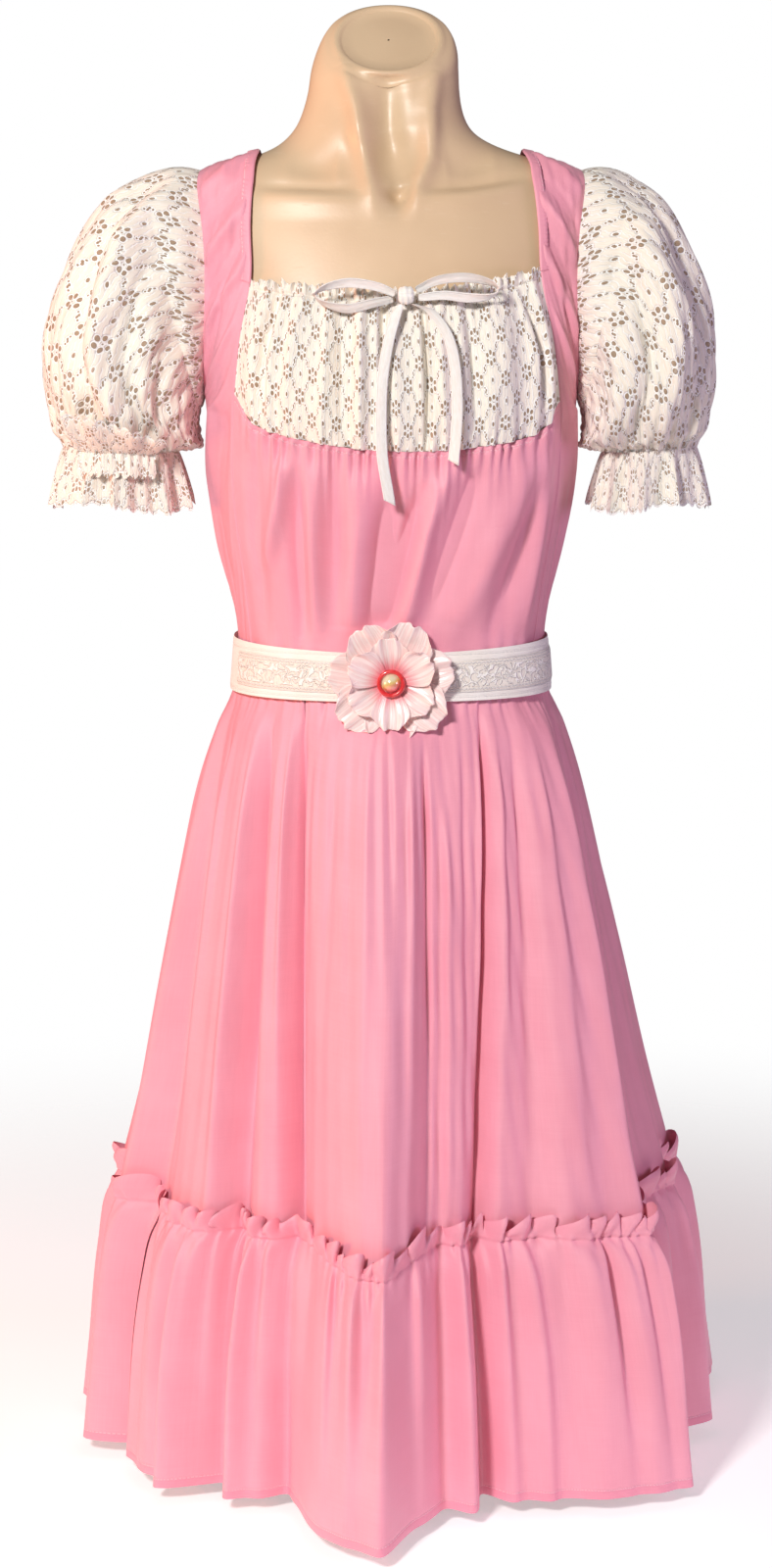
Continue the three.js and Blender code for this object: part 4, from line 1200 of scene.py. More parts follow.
@dataclass
class DressForm:
    """The limbless form, its pole and its base."""

    base_radius: float = 150.0
    base_height: float = 9.0
    pole_radius: float = 12.5
    cap_tilt: float = 43.0
    # The neck's cap from its rim inwards: share of the rim's size, and how far it stands out
    cap: tuple[tuple[float, float], ...] = (
        (0.97, 1.2), (0.92, 1.7), (0.87, 1.4), (0.84, 0.3), (0.81, -0.5), (0.6, -0.3), (0.3, 0.1),
        (0.02, 0.2),
    )
    relief_depth: float = 1.5
    # Hollows and ridges of the neck and collar bones, on the chart of x and z at the front
    relief: tuple[Crease, ...] = (
        Crease(((-40, 1188), (-28, 1153), (-20, 1106), (-13, 1075)), 8.0, 5.0),
        Crease(((36, 1184), (31, 1153), (32, 1112), (15, 1075)), 8.0, 4.6),
        Crease(((-4, 1180), (-2, 1137), (5, 1096)), 14.0, -7.5),
        Crease(((6, 1092), (8, 1076)), 9.0, -6.5),
        Crease(((-108, 1091), (-71, 1091), (-31, 1089)), 5.0, -2.6),
        Crease(((22, 1089), (64, 1092), (108, 1099)), 5.0, -2.6),
        Crease(((-112, 1080), (-71, 1079), (-20, 1077)), 8.0, 2.4),
        Crease(((24, 1078), (64, 1081), (110, 1088)), 8.0, 2.6),
        Crease(((-84, 1108), (-44, 1104)), 13.0, -3.4),
        Crease(((46, 1105), (84, 1110)), 13.0, -3.4),
    )

    def shell(self) -> None:
        """Make the torso, shoulders and neck in one skin, with a plain rimmed cap on the neck."""
        sides = 220
        angle = all_round(sides)
        foot_rim = [FORM_FOOT_Z, FORM_FOOT_Z + 0.6, FORM_FOOT_Z + 2.5]
        rings = []
        for z in np.concatenate([foot_rim, np.linspace(511, 1080, 90), np.linspace(1082, 1127, 26)]):
            small = 0.93 + 0.07 * float(ease(z, FORM_FOOT_Z, 512)) ** 0.5
            x, y = oval(angle, TORSO.size("side", z), TORSO.size("front", z), TORSO.size("back", z))
            rings.append(stack(x * small - 4 * float(ease(z, 1112, 1127)), y * small, z))
        for z in np.concatenate([np.linspace(1130, 1204, 32), np.linspace(1205, 1210, 8)]):
            middle_x, middle_y, lean, side, deep = (float(NECK.read(c, z)) for c in NECK.columns[1:])
            grow = 1 + 0.13 * float(ease(z, 1137, 1128))
            x, y = oval(angle, side * grow, deep, deep, 2.1)
            tilt = math.radians(lean)
            rings.append(stack(middle_x + x, middle_y + y * math.cos(tilt), z + y * math.sin(tilt)))
        rim = rings[-1]
        middle = rim.mean(axis=0)
        forward = math.radians(self.cap_tilt)
        out = np.array([0.0, -math.sin(forward), math.cos(forward)])
        for share, lift in self.cap:
            rings.append(middle + (rim - middle) * share + out * lift)
        points = np.array(rings)
        for _ in range(10):
            soft = (points[:-2] + 2 * points[1:-1] + points[2:]) / 4
            near = ((points[1:-1, :, 2] > 1096) & (points[1:-1, :, 2] < 1160))[..., None]
            points[1:-1] = np.where(near, soft, points[1:-1])
        sheet = Sheet(points, 880.0, closed=True)
        front = ease(-points[..., 1], 8.0, 30.0)
        front[-8:] = 0
        carve = self.relief_depth * creased(self.relief, points[..., 0], points[..., 2]) * front
        sheet = sheet.raised(carve * ease(points[..., 2], 1206, 1194))
        foot = sheet.points[0]
        centre = foot.mean(axis=0)
        under = Sheet(np.array([centre + (foot - centre) * s for s in (0.02, 0.5, 1.0)]), 880.0, closed=True)
        ROOM.piece("form_shell_skin", [sheet, under], FormPlastic(), ["form"])

    @staticmethod
    def turned(profile: Sequence[tuple[float, float]], sides: int) -> Sheet:
        """A turned solid from radii and heights."""
        angle = all_round(sides)
        rings = [stack(r * np.sin(angle), -r * np.cos(angle), z) for r, z in profile]
        return Sheet(np.array(rings), 2 * math.pi * max(r for r, _ in profile), closed=True)

    def stand(self) -> None:
        """Make the round base and the pole with its foot ring and collar."""
        r, h = self.base_radius, self.base_height
        rim = [(r - 1, 0), (r - 0.2, 0.4), (r, 1.2), (r, 3.2), (r - 0.5, 4.2), (r - 2, 5.2), (r - 7, 6.9)]
        base = self.turned([(0.5, 0), *rim, (r - 9, 7.1), (r - 60, 8.1), (34, h), (0.5, h)], 120)
        ROOM.piece("stand_base_plate", [base], BrushedSteel(), ["stand_base"])
        foot, top = h + SEAM, FORM_FOOT_Z - SEAM
        p = self.pole_radius
        ring = [(p + 8.6, foot), (p + 9, foot + 0.5), (p + 9, foot + 4.4), (p + 8, foot + 5.4)]
        tube = [(p + 1.5, foot + 11), (p, foot + 12), (p, 250), (p, top - 17), (p + 2, top - 15.6)]
        collar = [(32, top - 8.4), (33.6, top - 7.6), (34, top - 6.6), (34, top - 0.6), (33.4, top)]
        pole = self.turned([(0.5, foot), *ring, *tube, *collar, (0.5, top)], 64)
        ROOM.piece("stand_pole_tube", [pole], BrushedSteel(), ["stand_pole"])

    def build(self) -> None:
        """Make the form and its stand."""
        self.shell()
        self.stand()


@dataclass
class Bodice:
    """The fitted top: gathered centre front, eyelet yoke, side fronts, back and neck bands."""

    rise_height: float = 165.0
    arch_length: float = 210.0
    shoulder_walk: float = 0.785
    shoulder_turn: float = 0.5
    neck_share: float = 0.625
    armhole_z: float = 1006.0
    armhole_half: float = 84.0
    # Main folds of the centre front, on the chart of x and z
    front_folds: tuple[Crease, ...] = (
        Crease(((-83, 874), (-89, 831), (-98, 785)), 7.0, 5.0),
        Crease(((-75, 858), (-73, 791), (-69, 722)), 6.0, -4.2),
        Crease(((-62, 872), (-62, 799), (-60, 728)), 7.5, 3.6),
        Crease(((-46, 868), (-45, 800), (-44, 730)), 9.0, -3.0),
        Crease(((-25, 866), (-26, 820), (-34, 735)), 11.0, 5.0),
        Crease(((-3, 840), (-7, 783), (-15, 730)), 9.0, -5.0),
        Crease(((24, 845), (9, 791), (-4, 735)), 7.0, -4.4),
        Crease(((46, 873), (28, 815), (11, 735)), 8.0, 5.6),
        Crease(((72, 873), (52, 810), (28, 735)), 9.0, -3.8),
        Crease(((108, 868), (84, 807), (54, 735)), 12.0, 4.6),
        Crease(((122, 850), (104, 800), (82, 730)), 8.0, -3.4),
        Crease(((129, 873), (120, 799), (104, 730)), 8.0, 3.4),
        Crease(((-108, 873), (-108, 800), (-100, 730)), 8.0, -3.0),
    )
    # Deep folds of the yoke, on the chart of u and v
    yoke_folds: tuple[Crease, ...] = (
        Crease(((0.10, 0.1), (0.09, 0.5), (0.12, 1.0)), 0.016, -6.0),
        Crease(((0.17, 0.2), (0.18, 0.6), (0.19, 1.0)), 0.020, 3.5),
        Crease(((0.33, 0.0), (0.33, 0.5), (0.32, 1.0)), 0.014, -6.5),
        Crease(((0.38, 0.0), (0.385, 0.5), (0.38, 1.0)), 0.018, 4.0),
        Crease(((0.455, 0.3), (0.457, 0.7), (0.46, 1.0)), 0.013, -6.0),
        Crease(((0.59, 0.0), (0.592, 0.5), (0.585, 1.0)), 0.011, -10.0),
        Crease(((0.625, 0.0), (0.625, 0.5), (0.62, 0.9)), 0.020, 4.5),
        Crease(((0.725, 0.1), (0.73, 0.5), (0.72, 1.0)), 0.016, -5.0),
        Crease(((0.80, 0.2), (0.82, 0.6), (0.81, 1.0)), 0.022, 3.0),
        Crease(((0.93, 0.15), (0.945, 0.5), (0.91, 1.0)), 0.014, -6.5),
    )
    # Drag folds of the straps, on the chart of u and row
    strap_folds: tuple[Crease, ...] = (
        Crease(((0.05, 2.12), (0.95, 1.62)), 0.05, 2.4),
        Crease(((0.02, 2.24), (0.95, 1.84)), 0.05, -2.0),
        Crease(((0.05, 2.36), (0.98, 2.02)), 0.045, 2.8),
        Crease(((0.05, 2.48), (0.98, 2.2)), 0.045, -2.0),
        Crease(((0.1, 2.6), (0.98, 2.38)), 0.04, 2.0),
        Crease(((0.2, 1.2), (0.75, 0.72), (0.85, 0.3)), 0.08, 2.6),
        Crease(((0.1, 1.0), (0.5, 0.55), (0.6, 0.12)), 0.08, -2.4),
        Crease(((0.15, 1.7), (0.7, 1.3)), 0.06, 2.0),
        Crease(((0.5, 1.95), (0.95, 1.2)), 0.07, -2.4),
    )

    @staticmethod
    def seam_x(z: Array, side: int) -> Array:
        """Distance from the middle to the front seam."""
        return np.abs(FRONT_SEAM.read("left" if side < 0 else "right", z))

    def front_x(self, u: Array, z: Array) -> Array:
        """X across the centre front."""
        return lerp(-self.seam_x(z, -1), self.seam_x(z, 1), u)

    @staticmethod
    def underbust(u: Array) -> Array:
        """Height of the seam under the yoke, which curves up at its ends."""
        end = np.minimum(u, 1 - u)
        return YOKE.read("low", u) + 20.0 * np.exp(-((end / 0.045) ** 1.6))

    def centre_front(self) -> None:
        """Make the gathered centre front."""
        u, v = field_of(shares(320), shares(120))
        high = self.underbust(u)
        z = lerp(WAIST_Z, high, v)
        x = self.front_x(u, z)
        below = high - z
        wave = 31 * u + 0.35 * wander(9 * u, 1.3)
        pleats = waves(wave) * (2.8 + 0.9 * wander(14 * u, 4.0))
        pleats = pleats * np.exp(-below / (10.0 + 14.0 * np.abs(wander(11 * u, 2.2)))) * ease(below, 0.0, 1.6)
        broad = waves(11.5 * u + 0.4 * wander(4 * u, 3.1)) * 1.0 * np.exp(-below / 60)
        waist = waves(13 * u + 0.5 * wander(5 * u, 5.0)) * 0.8 * np.exp(-(z - WAIST_Z) / 40)
        folds = 2.0 * creased(self.front_folds, x, z) * ease(below, 0, 30)
        seam = 1.2 * bell(below, 0, 1.6)
        lift = LIFT + (3.6 + folds + pleats + broad + waist - seam) * fade(u, 0.06)
        points = TORSO.seat(stack(x, TORSO.depth(x, z, -1), z), np.maximum(lift, LEAST_LIFT))
        ROOM.piece(
            "bodice_front_cloth",
            [Sheet(points, 380.0, from_top=True)],
            PinkCotton(stitches=(5.0,)),
            ["bodice_front"],
        )

    def yoke(self) -> None:
        """Make the yoke, drawn up on its string, with the frill above it."""
        rows = np.concatenate([np.linspace(0, 0.9, 80), np.linspace(0.907, 1.0, 20)])
        u, v = field_of(shares(360), rows)
        low, high = self.underbust(u), YOKE.read("high", u)
        z = lerp(low, high, v)
        x = self.front_x(u, z)
        casing = bell(v, 0.925, 0.012)
        puff = np.sin(np.pi * (0.02 + 0.90 * v)) ** 0.55
        phase = 2 * np.pi * (7.2 * u + 0.32 * wander(5 * u, 0.7) + 0.05 * np.sin(5 * v))
        broad = 1.6 * np.cos(phase) * (0.55 + 0.45 * np.sin(np.pi * v)) + 1.3 * creased(self.yoke_folds, u, v)
        middle = 1.5 * waves(15.5 * u + 0.4 * wander(7 * u, 2.0) + 0.12 * np.sin(4 * v + 9 * u))
        end = np.exp(-((1 - v) / 0.16)) + np.exp(-v / 0.12)
        fine = 1.1 * waves(33 * u + 0.5 * wander(12 * u, 3.3)) * end
        lip = ease(v, 0.93, 1.0)
        ruffle = lip * (1.6 + 2.2 * np.cos(2 * np.pi * (33 * u + 0.5 * wander(12 * u, 3.3)) + 0.8))
        z = z + lip * (2.2 * wander(60 * u, 1.9) + 1.0 * waves(24 * u))
        rise = 8.0 * puff + broad + middle + fine + ruffle - 2.0 * casing + 1.4
        x = self.front_x(u, np.minimum(z, high))
        points = TORSO.seat(stack(x, TORSO.depth(x, z, -1), z), LIFT + rise * fade(u, 0.05))
        ROOM.piece(
            "yoke_cloth",
            [Sheet(points, 440.0)],
            EyeletCotton(scale=0.82),
            ["yoke"],
        )

    def arch(self, x: Array, walk: Array, facing: int) -> Array:
        """A guess near the figure on the way up from the chest, over the shoulder's ridge and down behind."""
        over = walk > 1
        walk = np.where(over, 2 - walk, walk)
        side = np.where(over, -facing, facing)
        way = walk * self.arch_length
        z = CHEST_Z + np.minimum(way, self.rise_height)
        low = stack(x, TORSO.depth(x, z, side), z)
        high = stack(x, side * (self.arch_length - way), 1106.0)
        return np.where((way <= self.rise_height)[..., None], low, high)

    def side_seam(self, share: Array) -> Array:
        """Points of the side seam between the waist and the armpit."""
        z = lerp(WAIST_Z, self.armhole_z - self.armhole_half, share)
        return stack(TORSO.size("side", z), 0.0, z)

    def armhole(self, turn: Array) -> Array:
        """Points of the armhole at an angle from its top, the front being positive."""
        deep = np.where(turn > 0, 50.0, 52.0)
        return stack(150.0, -np.sin(turn) * deep, self.armhole_z + self.armhole_half * np.cos(turn))

    def side_front(self, u: Array, row: Array, side: int, lift: Array | float) -> Array:
        """Points of a side front, drawn on the right.

        Args:
            u: share of the way from the front seam to the side seam.
            row: 0 at the waist, 1 at the underbust seam, 2 at the yoke's top, 3 behind the shoulder.
            side: -1 for the left one, whose seam differs a little.
            lift: distance outside the figure.

        Returns:
            The points.
        """
        end = 0.0 if side < 0 else 1.0
        heights = [WAIST_Z, float(YOKE.read("low", end)), float(YOKE.read("high", end))]
        walks = [(z - CHEST_Z) / self.arch_length for z in heights] + [2 - self.shoulder_walk - 0.004]
        walk = np.interp(row, [0, 1, 2, 3], walks)
        inner = self.arch(self.seam_x(np.minimum(CHEST_Z + walk * self.arch_length, 1118), side), walk, -1)
        turn = lerp(np.pi, 0.008 - self.shoulder_turn, (row - 1) / 2)
        outer = np.where((row <= 1)[..., None], self.side_seam(row), self.armhole(turn))
        return TORSO.seat(lerp(inner, outer, u[..., None]), lift)

    def side_fronts(self) -> None:
        """Make the two side fronts, which go up over the shoulders."""
        for name, side in (("left", -1), ("right", 1)):
            u, row = field_of(shares(64), np.linspace(0, 3, 200))
            drag = 2.0 * creased(self.strap_folds, u, row) * fade(u, 0.12)
            drag = drag * ease(row, 0.05, 0.3) * ease(3 - row, 0, 0.3)
            soft = 0.7 * wander(7 * u + 5 * row, 2.0 + side) * fade(u, 0.2)
            groove = -1.0 * np.exp(-u / 0.012)
            top = 1.2 * waves(30 * row) * np.exp(-u / 0.05) * ease(row, 1.9, 2.1) * 0.5
            rise = np.maximum(LIFT + 0.8 + drag + soft + groove + top, LEAST_LIFT)
            points = self.side_front(u, row, side, rise)
            low = row <= 1
            points[..., 1] = np.where(low, np.minimum(points[..., 1], 0.0), points[..., 1])
            sheet = Sheet(points, 190.0)
            ROOM.piece(
                f"side_front_{name}_cloth",
                [sheet.on_side(side)],
                PinkCotton(),
                [f"side_front_{name}"],
            )
            self.neck_band(name, side)

    def neck_band(self, name: str, side: int) -> None:
        """Make the stitched band along one strap's neck edge."""
        u, row = field_of(np.linspace(-0.02, 0.2, 14), np.linspace(1.98, 3, 180))
        across = (u + 0.02) / 0.22
        round_ = rounded(across, 6)
        pucker = 0.35 * np.cos(2 * np.pi * 46 * row + 2.0 * wander(9 * row, 1.0)) * bell(across, 0.8, 0.3)
        points = self.side_front(u, row, side, LIFT + 0.6 + 1.4 * round_ + pucker)
        sheet = Sheet(np.transpose(points, (1, 0, 2))[:, ::-1], 160.0)
        cloth = PinkCotton(stitches=(8.6,))
        ROOM.piece(f"neck_band_{name}_strip", [sheet.on_side(side)], cloth, [f"neck_band_{name}"])

    def back_points(self, u: Array, row: Array, lift: Array | float) -> Array:
        """Points of the back.

        Args:
            u: share of the way from the right side seam to the left one.
            row: 0 at the waist, 1 at the armpits, 2 at the back neckline and the straps.
            lift: distance outside the figure.

        Returns:
            The points.
        """
        share = np.abs(1 - 2 * u)
        strap_x = lerp(104.0, 108.2, row / 2)
        low = (WAIST_Z - CHEST_Z) / self.arch_length
        near = share / self.neck_share
        top = np.where(near < 1, lerp(0.7, self.shoulder_walk, np.minimum(near, 1) ** 3), self.shoulder_walk)
        walk = np.where(row <= 1, low * (1 - row), top * (row - 1))
        middle = self.arch(strap_x * np.minimum(near, 1), walk, 1)
        turn = lerp(-np.pi, -self.shoulder_turn, row - 1)
        outer = np.where((row <= 1)[..., None], self.side_seam(row), self.armhole(turn))
        past = np.clip((share - self.neck_share) / (1 - self.neck_share), 0, 1)[..., None]
        points = TORSO.seat(np.where((near <= 1)[..., None], middle, lerp(middle, outer, past)), lift)
        points[..., 1] = np.maximum(points[..., 1], 0.0)
        points[..., 0] = np.where(u > 0.5, -points[..., 0], points[..., 0])
        return points

    def back(self) -> None:
        """Make the plain back, gathered a little at the waist, and its neck band."""
        u, row = field_of(shares(200), np.linspace(0, 2, 110))
        folds = 2.6 * wander(13 * u + 0.8 * row, 0.9) + 1.3 * wander(29 * u - 0.5 * row, 2.7)
        folds = folds * fade(u, 0.12) * ease(2 - row, 0.1, 0.9) * ease(row, -0.1, 0.4)
        waist = 1.1 * waves(26 * u + 0.5 * wander(8 * u, 1.1)) * np.exp(-row / 0.12) * fade(u, 0.05)
        points = self.back_points(u, row, LIFT + 1.6 * fade(u, 0.1) * ease(2 - row, 0, 0.4) + folds + waist)
        ROOM.piece(
            "bodice_back_cloth",
            [Sheet(points, 400.0)],
            PinkCotton(stitches=(346.0,)),
            ["bodice_back"],
        )
        u, row = field_of(np.linspace(0.16, 0.84, 160), np.linspace(1.93, 2.0, 8))
        round_ = np.sqrt(np.maximum(1 - ((row - 1.965) / 0.035) ** 6, 0))
        pucker = 0.3 * waves(70 * u) * bell(row, 1.945, 0.02)
        points = self.back_points(u, row, LIFT + 0.6 + 1.4 * round_ + pucker)
        ROOM.piece(
            "neck_band_back_strip", [Sheet(points, 230.0)], PinkCotton(stitches=(2.4,)), ["neck_band_back"]
        )

    def build(self) -> None:
        """Make all pieces of the bodice."""
        self.centre_front()
        self.yoke()
        self.side_fronts()
        self.back()


@dataclass
class Sleeve:
    """One unlined puffed sleeve, drawn up on elastic over a scalloped frill. It is drawn on the right."""

    name: str
    side: int
    spread: float
    bodice: Bodice
    folds: tuple[Crease, ...]
    frill_drop: float = 46.0
    frill_waves: int = 11
    scallop: float = 3.6
    root_x: float = 171.0  # the spread is measured from here outwards
    cuff_row: float = 7.0

    def tube(self, turn: Array, at: Array) -> Array:
        """Points of the sleeve.

        Args:
            turn: angle round it, 0 at the outermost and a quarter turn at the front.
            at: 0 at the armhole to 7 at the cuff.

        Returns:
            The points.
        """
        place = np.maximum(at, 1)
        top_x = SLEEVE.read("topX", place)
        past = top_x - self.root_x
        top_x = self.root_x + past * np.where(past > 0, self.spread, 1.0)
        top = stack(top_x, 0.0, SLEEVE.read("topZ", place))
        low = stack(SLEEVE.read("lowX", place), 0.0, SLEEVE.read("lowZ", place))
        deep = np.where(np.sin(turn) > 0, SLEEVE.read("front", place), SLEEVE.read("back", place))
        p = (top + low) / 2 + (top - low) / 2 * np.cos(turn)[..., None]
        p[..., 1] -= np.sin(turn) * deep
        ring = self.bodice.armhole(np.where(turn > np.pi, turn - 2 * np.pi, turn))
        start = TORSO.seat(ring, LIFT + SEAM)
        share = np.clip(at, 0, 1)[..., None]
        swell = 4.2 * np.sin(np.pi * np.clip(at, 0, 1))
        early = lerp(start, p, share)
        early[..., 1] -= np.sin(turn) * swell
        early[..., 2] += np.cos(turn) * swell
        return np.where((at < 1)[..., None], early, p)

    def puff(self) -> None:
        """Make the puff with its gathers and folds."""
        rows = np.concatenate([shares(24), np.linspace(1.05, 6.0, 74), np.linspace(6.04, 7.0, 24)])
        turn, at = field_of(all_round(270), rows[::-1])
        sheet = Sheet(self.tube(turn, at), 560.0, closed=True)
        outer = np.sin(turn / 2 + 0.5) ** 2
        head = 1.5 * np.cos(30 * turn + 2.2 * wander(4 * turn, 1.0)) * np.exp(-at / 0.6)
        head = head * ease(at, 0, 0.25) * (0.2 + outer)
        wide = 2.6 * wander(5.2 * turn + 0.5 * at, 1.7 + self.side)
        wide = (wide + 1.5 * wander(11.0 * turn - 0.6 * at, 0.4)) * ease(at, 0.3, 2.0)
        cuff_wave = 26 * turn + 2.0 * wander(5 * turn, 3.0)
        cuff = 1.8 * np.cos(cuff_wave) * ease(at, 4.6, 6.6)
        cuff += 0.8 * np.cos(2.1 * cuff_wave + 1.0) * ease(at, 5.9, 6.7)
        elastic = -3.4 * ease(at, 6.2, 6.75)
        degrees, down = np.degrees(turn), at * 30
        main = creased(self.folds, degrees, down) + creased(self.folds, degrees - 360, down)
        rise = head + wide * ease(self.cuff_row - at, 0.1, 1.6) + cuff + elastic
        rise = rise + 1.7 * main * ease(at, 0.1, 0.8) * ease(self.cuff_row - at, 0.1, 0.9)
        made = sheet.raised(-rise)
        ROOM.piece(
            f"sleeve_{self.name}_puff",
            [made.on_side(self.side)],
            EyeletCotton(),
            [f"sleeve_{self.name}_front", f"sleeve_{self.name}_back"],
        )

    def frill_points(self, turn: Array, v: Array) -> Array:
        """Points of the frill, v being 0 at the cuff and 1 at its scalloped edge."""
        edge = self.tube(turn, np.full(np.shape(turn), self.cuff_row))
        first, last = (self.tube(np.array([[t]]), np.array([[self.cuff_row]]))[0, 0] for t in (0.0, np.pi))
        out = edge - (first + last) / 2
        out[..., 2] = 0
        out /= np.linalg.norm(out, axis=-1, keepdims=True)
        phase = self.frill_waves * turn + 0.9 * np.sin(2 * turn + self.side) + 0.7 * np.sin(5 * turn)
        wave = np.cos(phase)
        small = np.cos(2.0 * self.frill_waves * turn + 1.3 * np.sin(3 * turn))
        spread = -3.0 + 8.5 * v + 5.6 * wave * np.sqrt(v) + 1.8 * small * v**0.4
        along = np.stack([-out[..., 1], out[..., 0], np.zeros(np.shape(turn))], axis=-1)
        edge[..., 2] -= v * (self.frill_drop + 3.0 * np.sin(3 * turn + 1.0))
        return edge + out * spread[..., None] + along * (3.2 * v * np.sin(phase + 0.5))[..., None]

    def frill(self) -> None:
        """Make the frill under the cuff, with a scalloped edge."""
        turn, v = field_of(all_round(380), np.linspace(1, 0, 26))
        points = self.frill_points(turn, v)
        points[..., 2] -= self.scallop * np.abs(np.sin(23 * turn)) * ease(v, 0.86, 1.0) - 1.5
        sheet = Sheet(points, 520.0, closed=True)
        ROOM.piece(
            f"frill_{self.name}_edge",
            [sheet.on_side(self.side)],
            EyeletCotton(scale=0.72, edge=2.2),
            [f"frill_{self.name}"],
        )

    def turned_up(self) -> None:
        """Make the part of the frill that is folded up over the cuff."""
        u, v = field_of(shares(130), np.linspace(-0.4, 1, 40))
        turn = lerp(math.radians(57), math.radians(122), u)
        up = np.maximum(v, 0)
        base = self.tube(turn, 7.1 - 1.5 * up)
        away = np.stack([np.cos(turn), -np.sin(turn), np.zeros(np.shape(turn))], axis=-1)
        wave = np.cos(2 * np.pi * 3.1 * u + 0.8 * np.sin(7 * u))
        spread = 7.0 + 8.0 * up + 3.4 * np.abs(v) * wave + 1.2 * waves(9 * u) * bell(v, 0, 0.2)
        base = base + away * (spread - 5.0 * np.minimum(v, 0))[..., None]
        scallop = self.scallop * np.abs(np.sin(np.pi * 9 * u))
        base[..., 2] += scallop * ease(v, 0.86, 1.0) + 2.5 * up * np.sin(4.5 * u)
        base[..., 2] += 42 * np.minimum(v, 0) - scallop * ease(-v, 0.3, 0.4)
        sheet = Sheet(base, 92.0, from_top=True)
        ROOM.piece(
            f"frill_{self.name}_fold",
            [sheet.on_side(self.side)],
            EyeletCotton(scale=0.72, edge=2.2),
            [f"frill_{self.name}_turned"],
        )

    def build(self) -> None:
        """Make the sleeve's pieces."""
        self.puff()
        self.frill()
        if self.side < 0:
            self.turned_up()


@dataclass
class Skirt:
    """The four gored panels and the gathered flounce."""

    # The gores from the front round to the left: name, and width of the cut in metres
    gores: tuple[tuple[str, float], ...] = (
        ("front", 0.31),
        ("side_right", 0.48),
        ("back", 0.60),
        ("side_left", 0.44),
    )
    # The flounce's strips: name, the gore that carries it, width of the cut, first and last angle
    strips: tuple[tuple[str, str, float, int, int], ...] = (
        ("front", "front", 0.63, -67, 40),
        ("right", "side_right", 0.575, 40, 128),
        ("back", "back", 0.61, 128, 224),
        ("left", "side_left", 0.425, 224, 293),
    )
    gore_length: float = 0.475
    gore_fill: float = 0.77  # share of its rectangle that a gore takes up
    strip_length: float = 0.245
    heading: float = 16.0
    # How soon the folds grow on the way down: the smaller, the higher up they stand
    crest_growth: float = 0.7
    trough_growth: float = 0.55
    # Smaller folds: angle at the flounce and height of the line's ends, its width in degrees and its height
    creases: tuple[Crease, ...] = (
        Crease(((-88, 640), (-88, 240)), 3.4, -5.0),
        Crease(((-83, 655), (-83, 300)), 2.6, 4.0),
        Crease(((-66, 650), (-66, 300)), 2.6, -6.5),
        Crease(((-60, 655), (-60, 330)), 3.0, 5.0),
        Crease(((-47, 655), (-47, 330)), 2.4, 4.0),
        Crease(((-42, 655), (-42, 380)), 2.0, -6.0),
        Crease(((-30, 655), (-30, 380)), 2.0, 4.0),
        Crease(((-25.4, 662), (-25.4, 260)), 1.5, -7.0),
        Crease(((-21, 655), (-20, 470)), 2.4, 3.0),
        Crease(((-15, 655), (-15, 500)), 1.8, -3.0),
        Crease(((-7, 655), (-6, 420)), 1.8, 2.4),
        Crease(((-2, 655), (-1, 480)), 1.6, -2.6),
        Crease(((4, 655), (3.6, 260)), 1.7, 6.0),
        Crease(((7.6, 655), (8.4, 260)), 1.5, -7.0),
        Crease(((13, 600), (14, 260)), 1.8, 5.0),
        Crease(((18, 655), (19, 330)), 1.7, -4.0),
        Crease(((22.4, 664), (22.6, 420)), 1.2, 4.5),
        Crease(((24.6, 664), (24.6, 260)), 1.4, -8.0),
        Crease(((29, 655), (29, 420)), 2.4, 3.6),
        Crease(((38, 655), (39, 330)), 2.4, -4.4),
        Crease(((46, 655), (46, 300)), 3.0, 3.6),
        Crease(((62, 655), (64, 300)), 2.6, -5.0),
        Crease(((78, 650), (78, 300)), 3.4, 4.0),
        Crease(((96, 650), (98, 300)), 3.4, -4.6),
    )

    @staticmethod
    def low_angle(angle: Array, z: Array) -> Array:
        """Angle at the flounce of the fold that passes a place: the folds lean as the seams do."""
        t = np.clip((WAIST_Z - z) / (WAIST_Z - 223), 0, 1)
        first = SEAM_ANGLES[0][0]
        turn = np.mod(angle - first, 360) + first
        result = turn.astype(float)
        for (high, low), (next_high, next_low) in zip(SEAM_ANGLES, SEAM_ANGLES[1:]):
            start, end = lerp(high, low, t), lerp(next_high, next_low, t)
            share = (turn - start) / (end - start)
            result = np.where((share >= 0) & (share <= 1), lerp(low, next_low, share), result)
        return result

    @staticmethod
    def fold(angle: Array, soft: float = 0.9) -> Array:
        """How far the folds push the skirt out at the hem.

        Args:
            angle: from the front, in degrees at the flounce.
            soft: how far a fold's corner is rounded, in degrees.

        Returns:
            Millimetres out.
        """
        at = np.array([row[0] for row in FOLDS] + [FOLDS[0][0] + 360], float)
        outs = np.array([row[1] for row in FOLDS] + [FOLDS[0][1]], float)
        turn = np.mod(angle - at[0], 360) + at[0]
        total = np.zeros(np.shape(angle))
        for step, weight in ((-1.6, 0.12), (-0.8, 0.23), (0.0, 0.3), (0.8, 0.23), (1.6, 0.12)):
            total = total + weight * np.interp(turn + step * soft, at, outs)
        return total

    def surface(self, angle: Array, z: Array, out: Array | float = 0.0) -> Array:
        """Points of the skirt at an angle in degrees and a height."""
        push = self.fold(self.low_angle(angle, z))
        share = np.clip((665 - z) / 650, 0, 1)
        turn = np.radians(angle)
        x, y = oval(turn, SKIRT.read("side", z), SKIRT.read("front", z), SKIRT.read("back", z), 2.15)
        growth = np.where(push > 0, share**self.crest_growth, share**self.trough_growth)
        push = push * growth + out
        return stack(x + push * np.sin(turn), y - push * np.cos(turn), z)

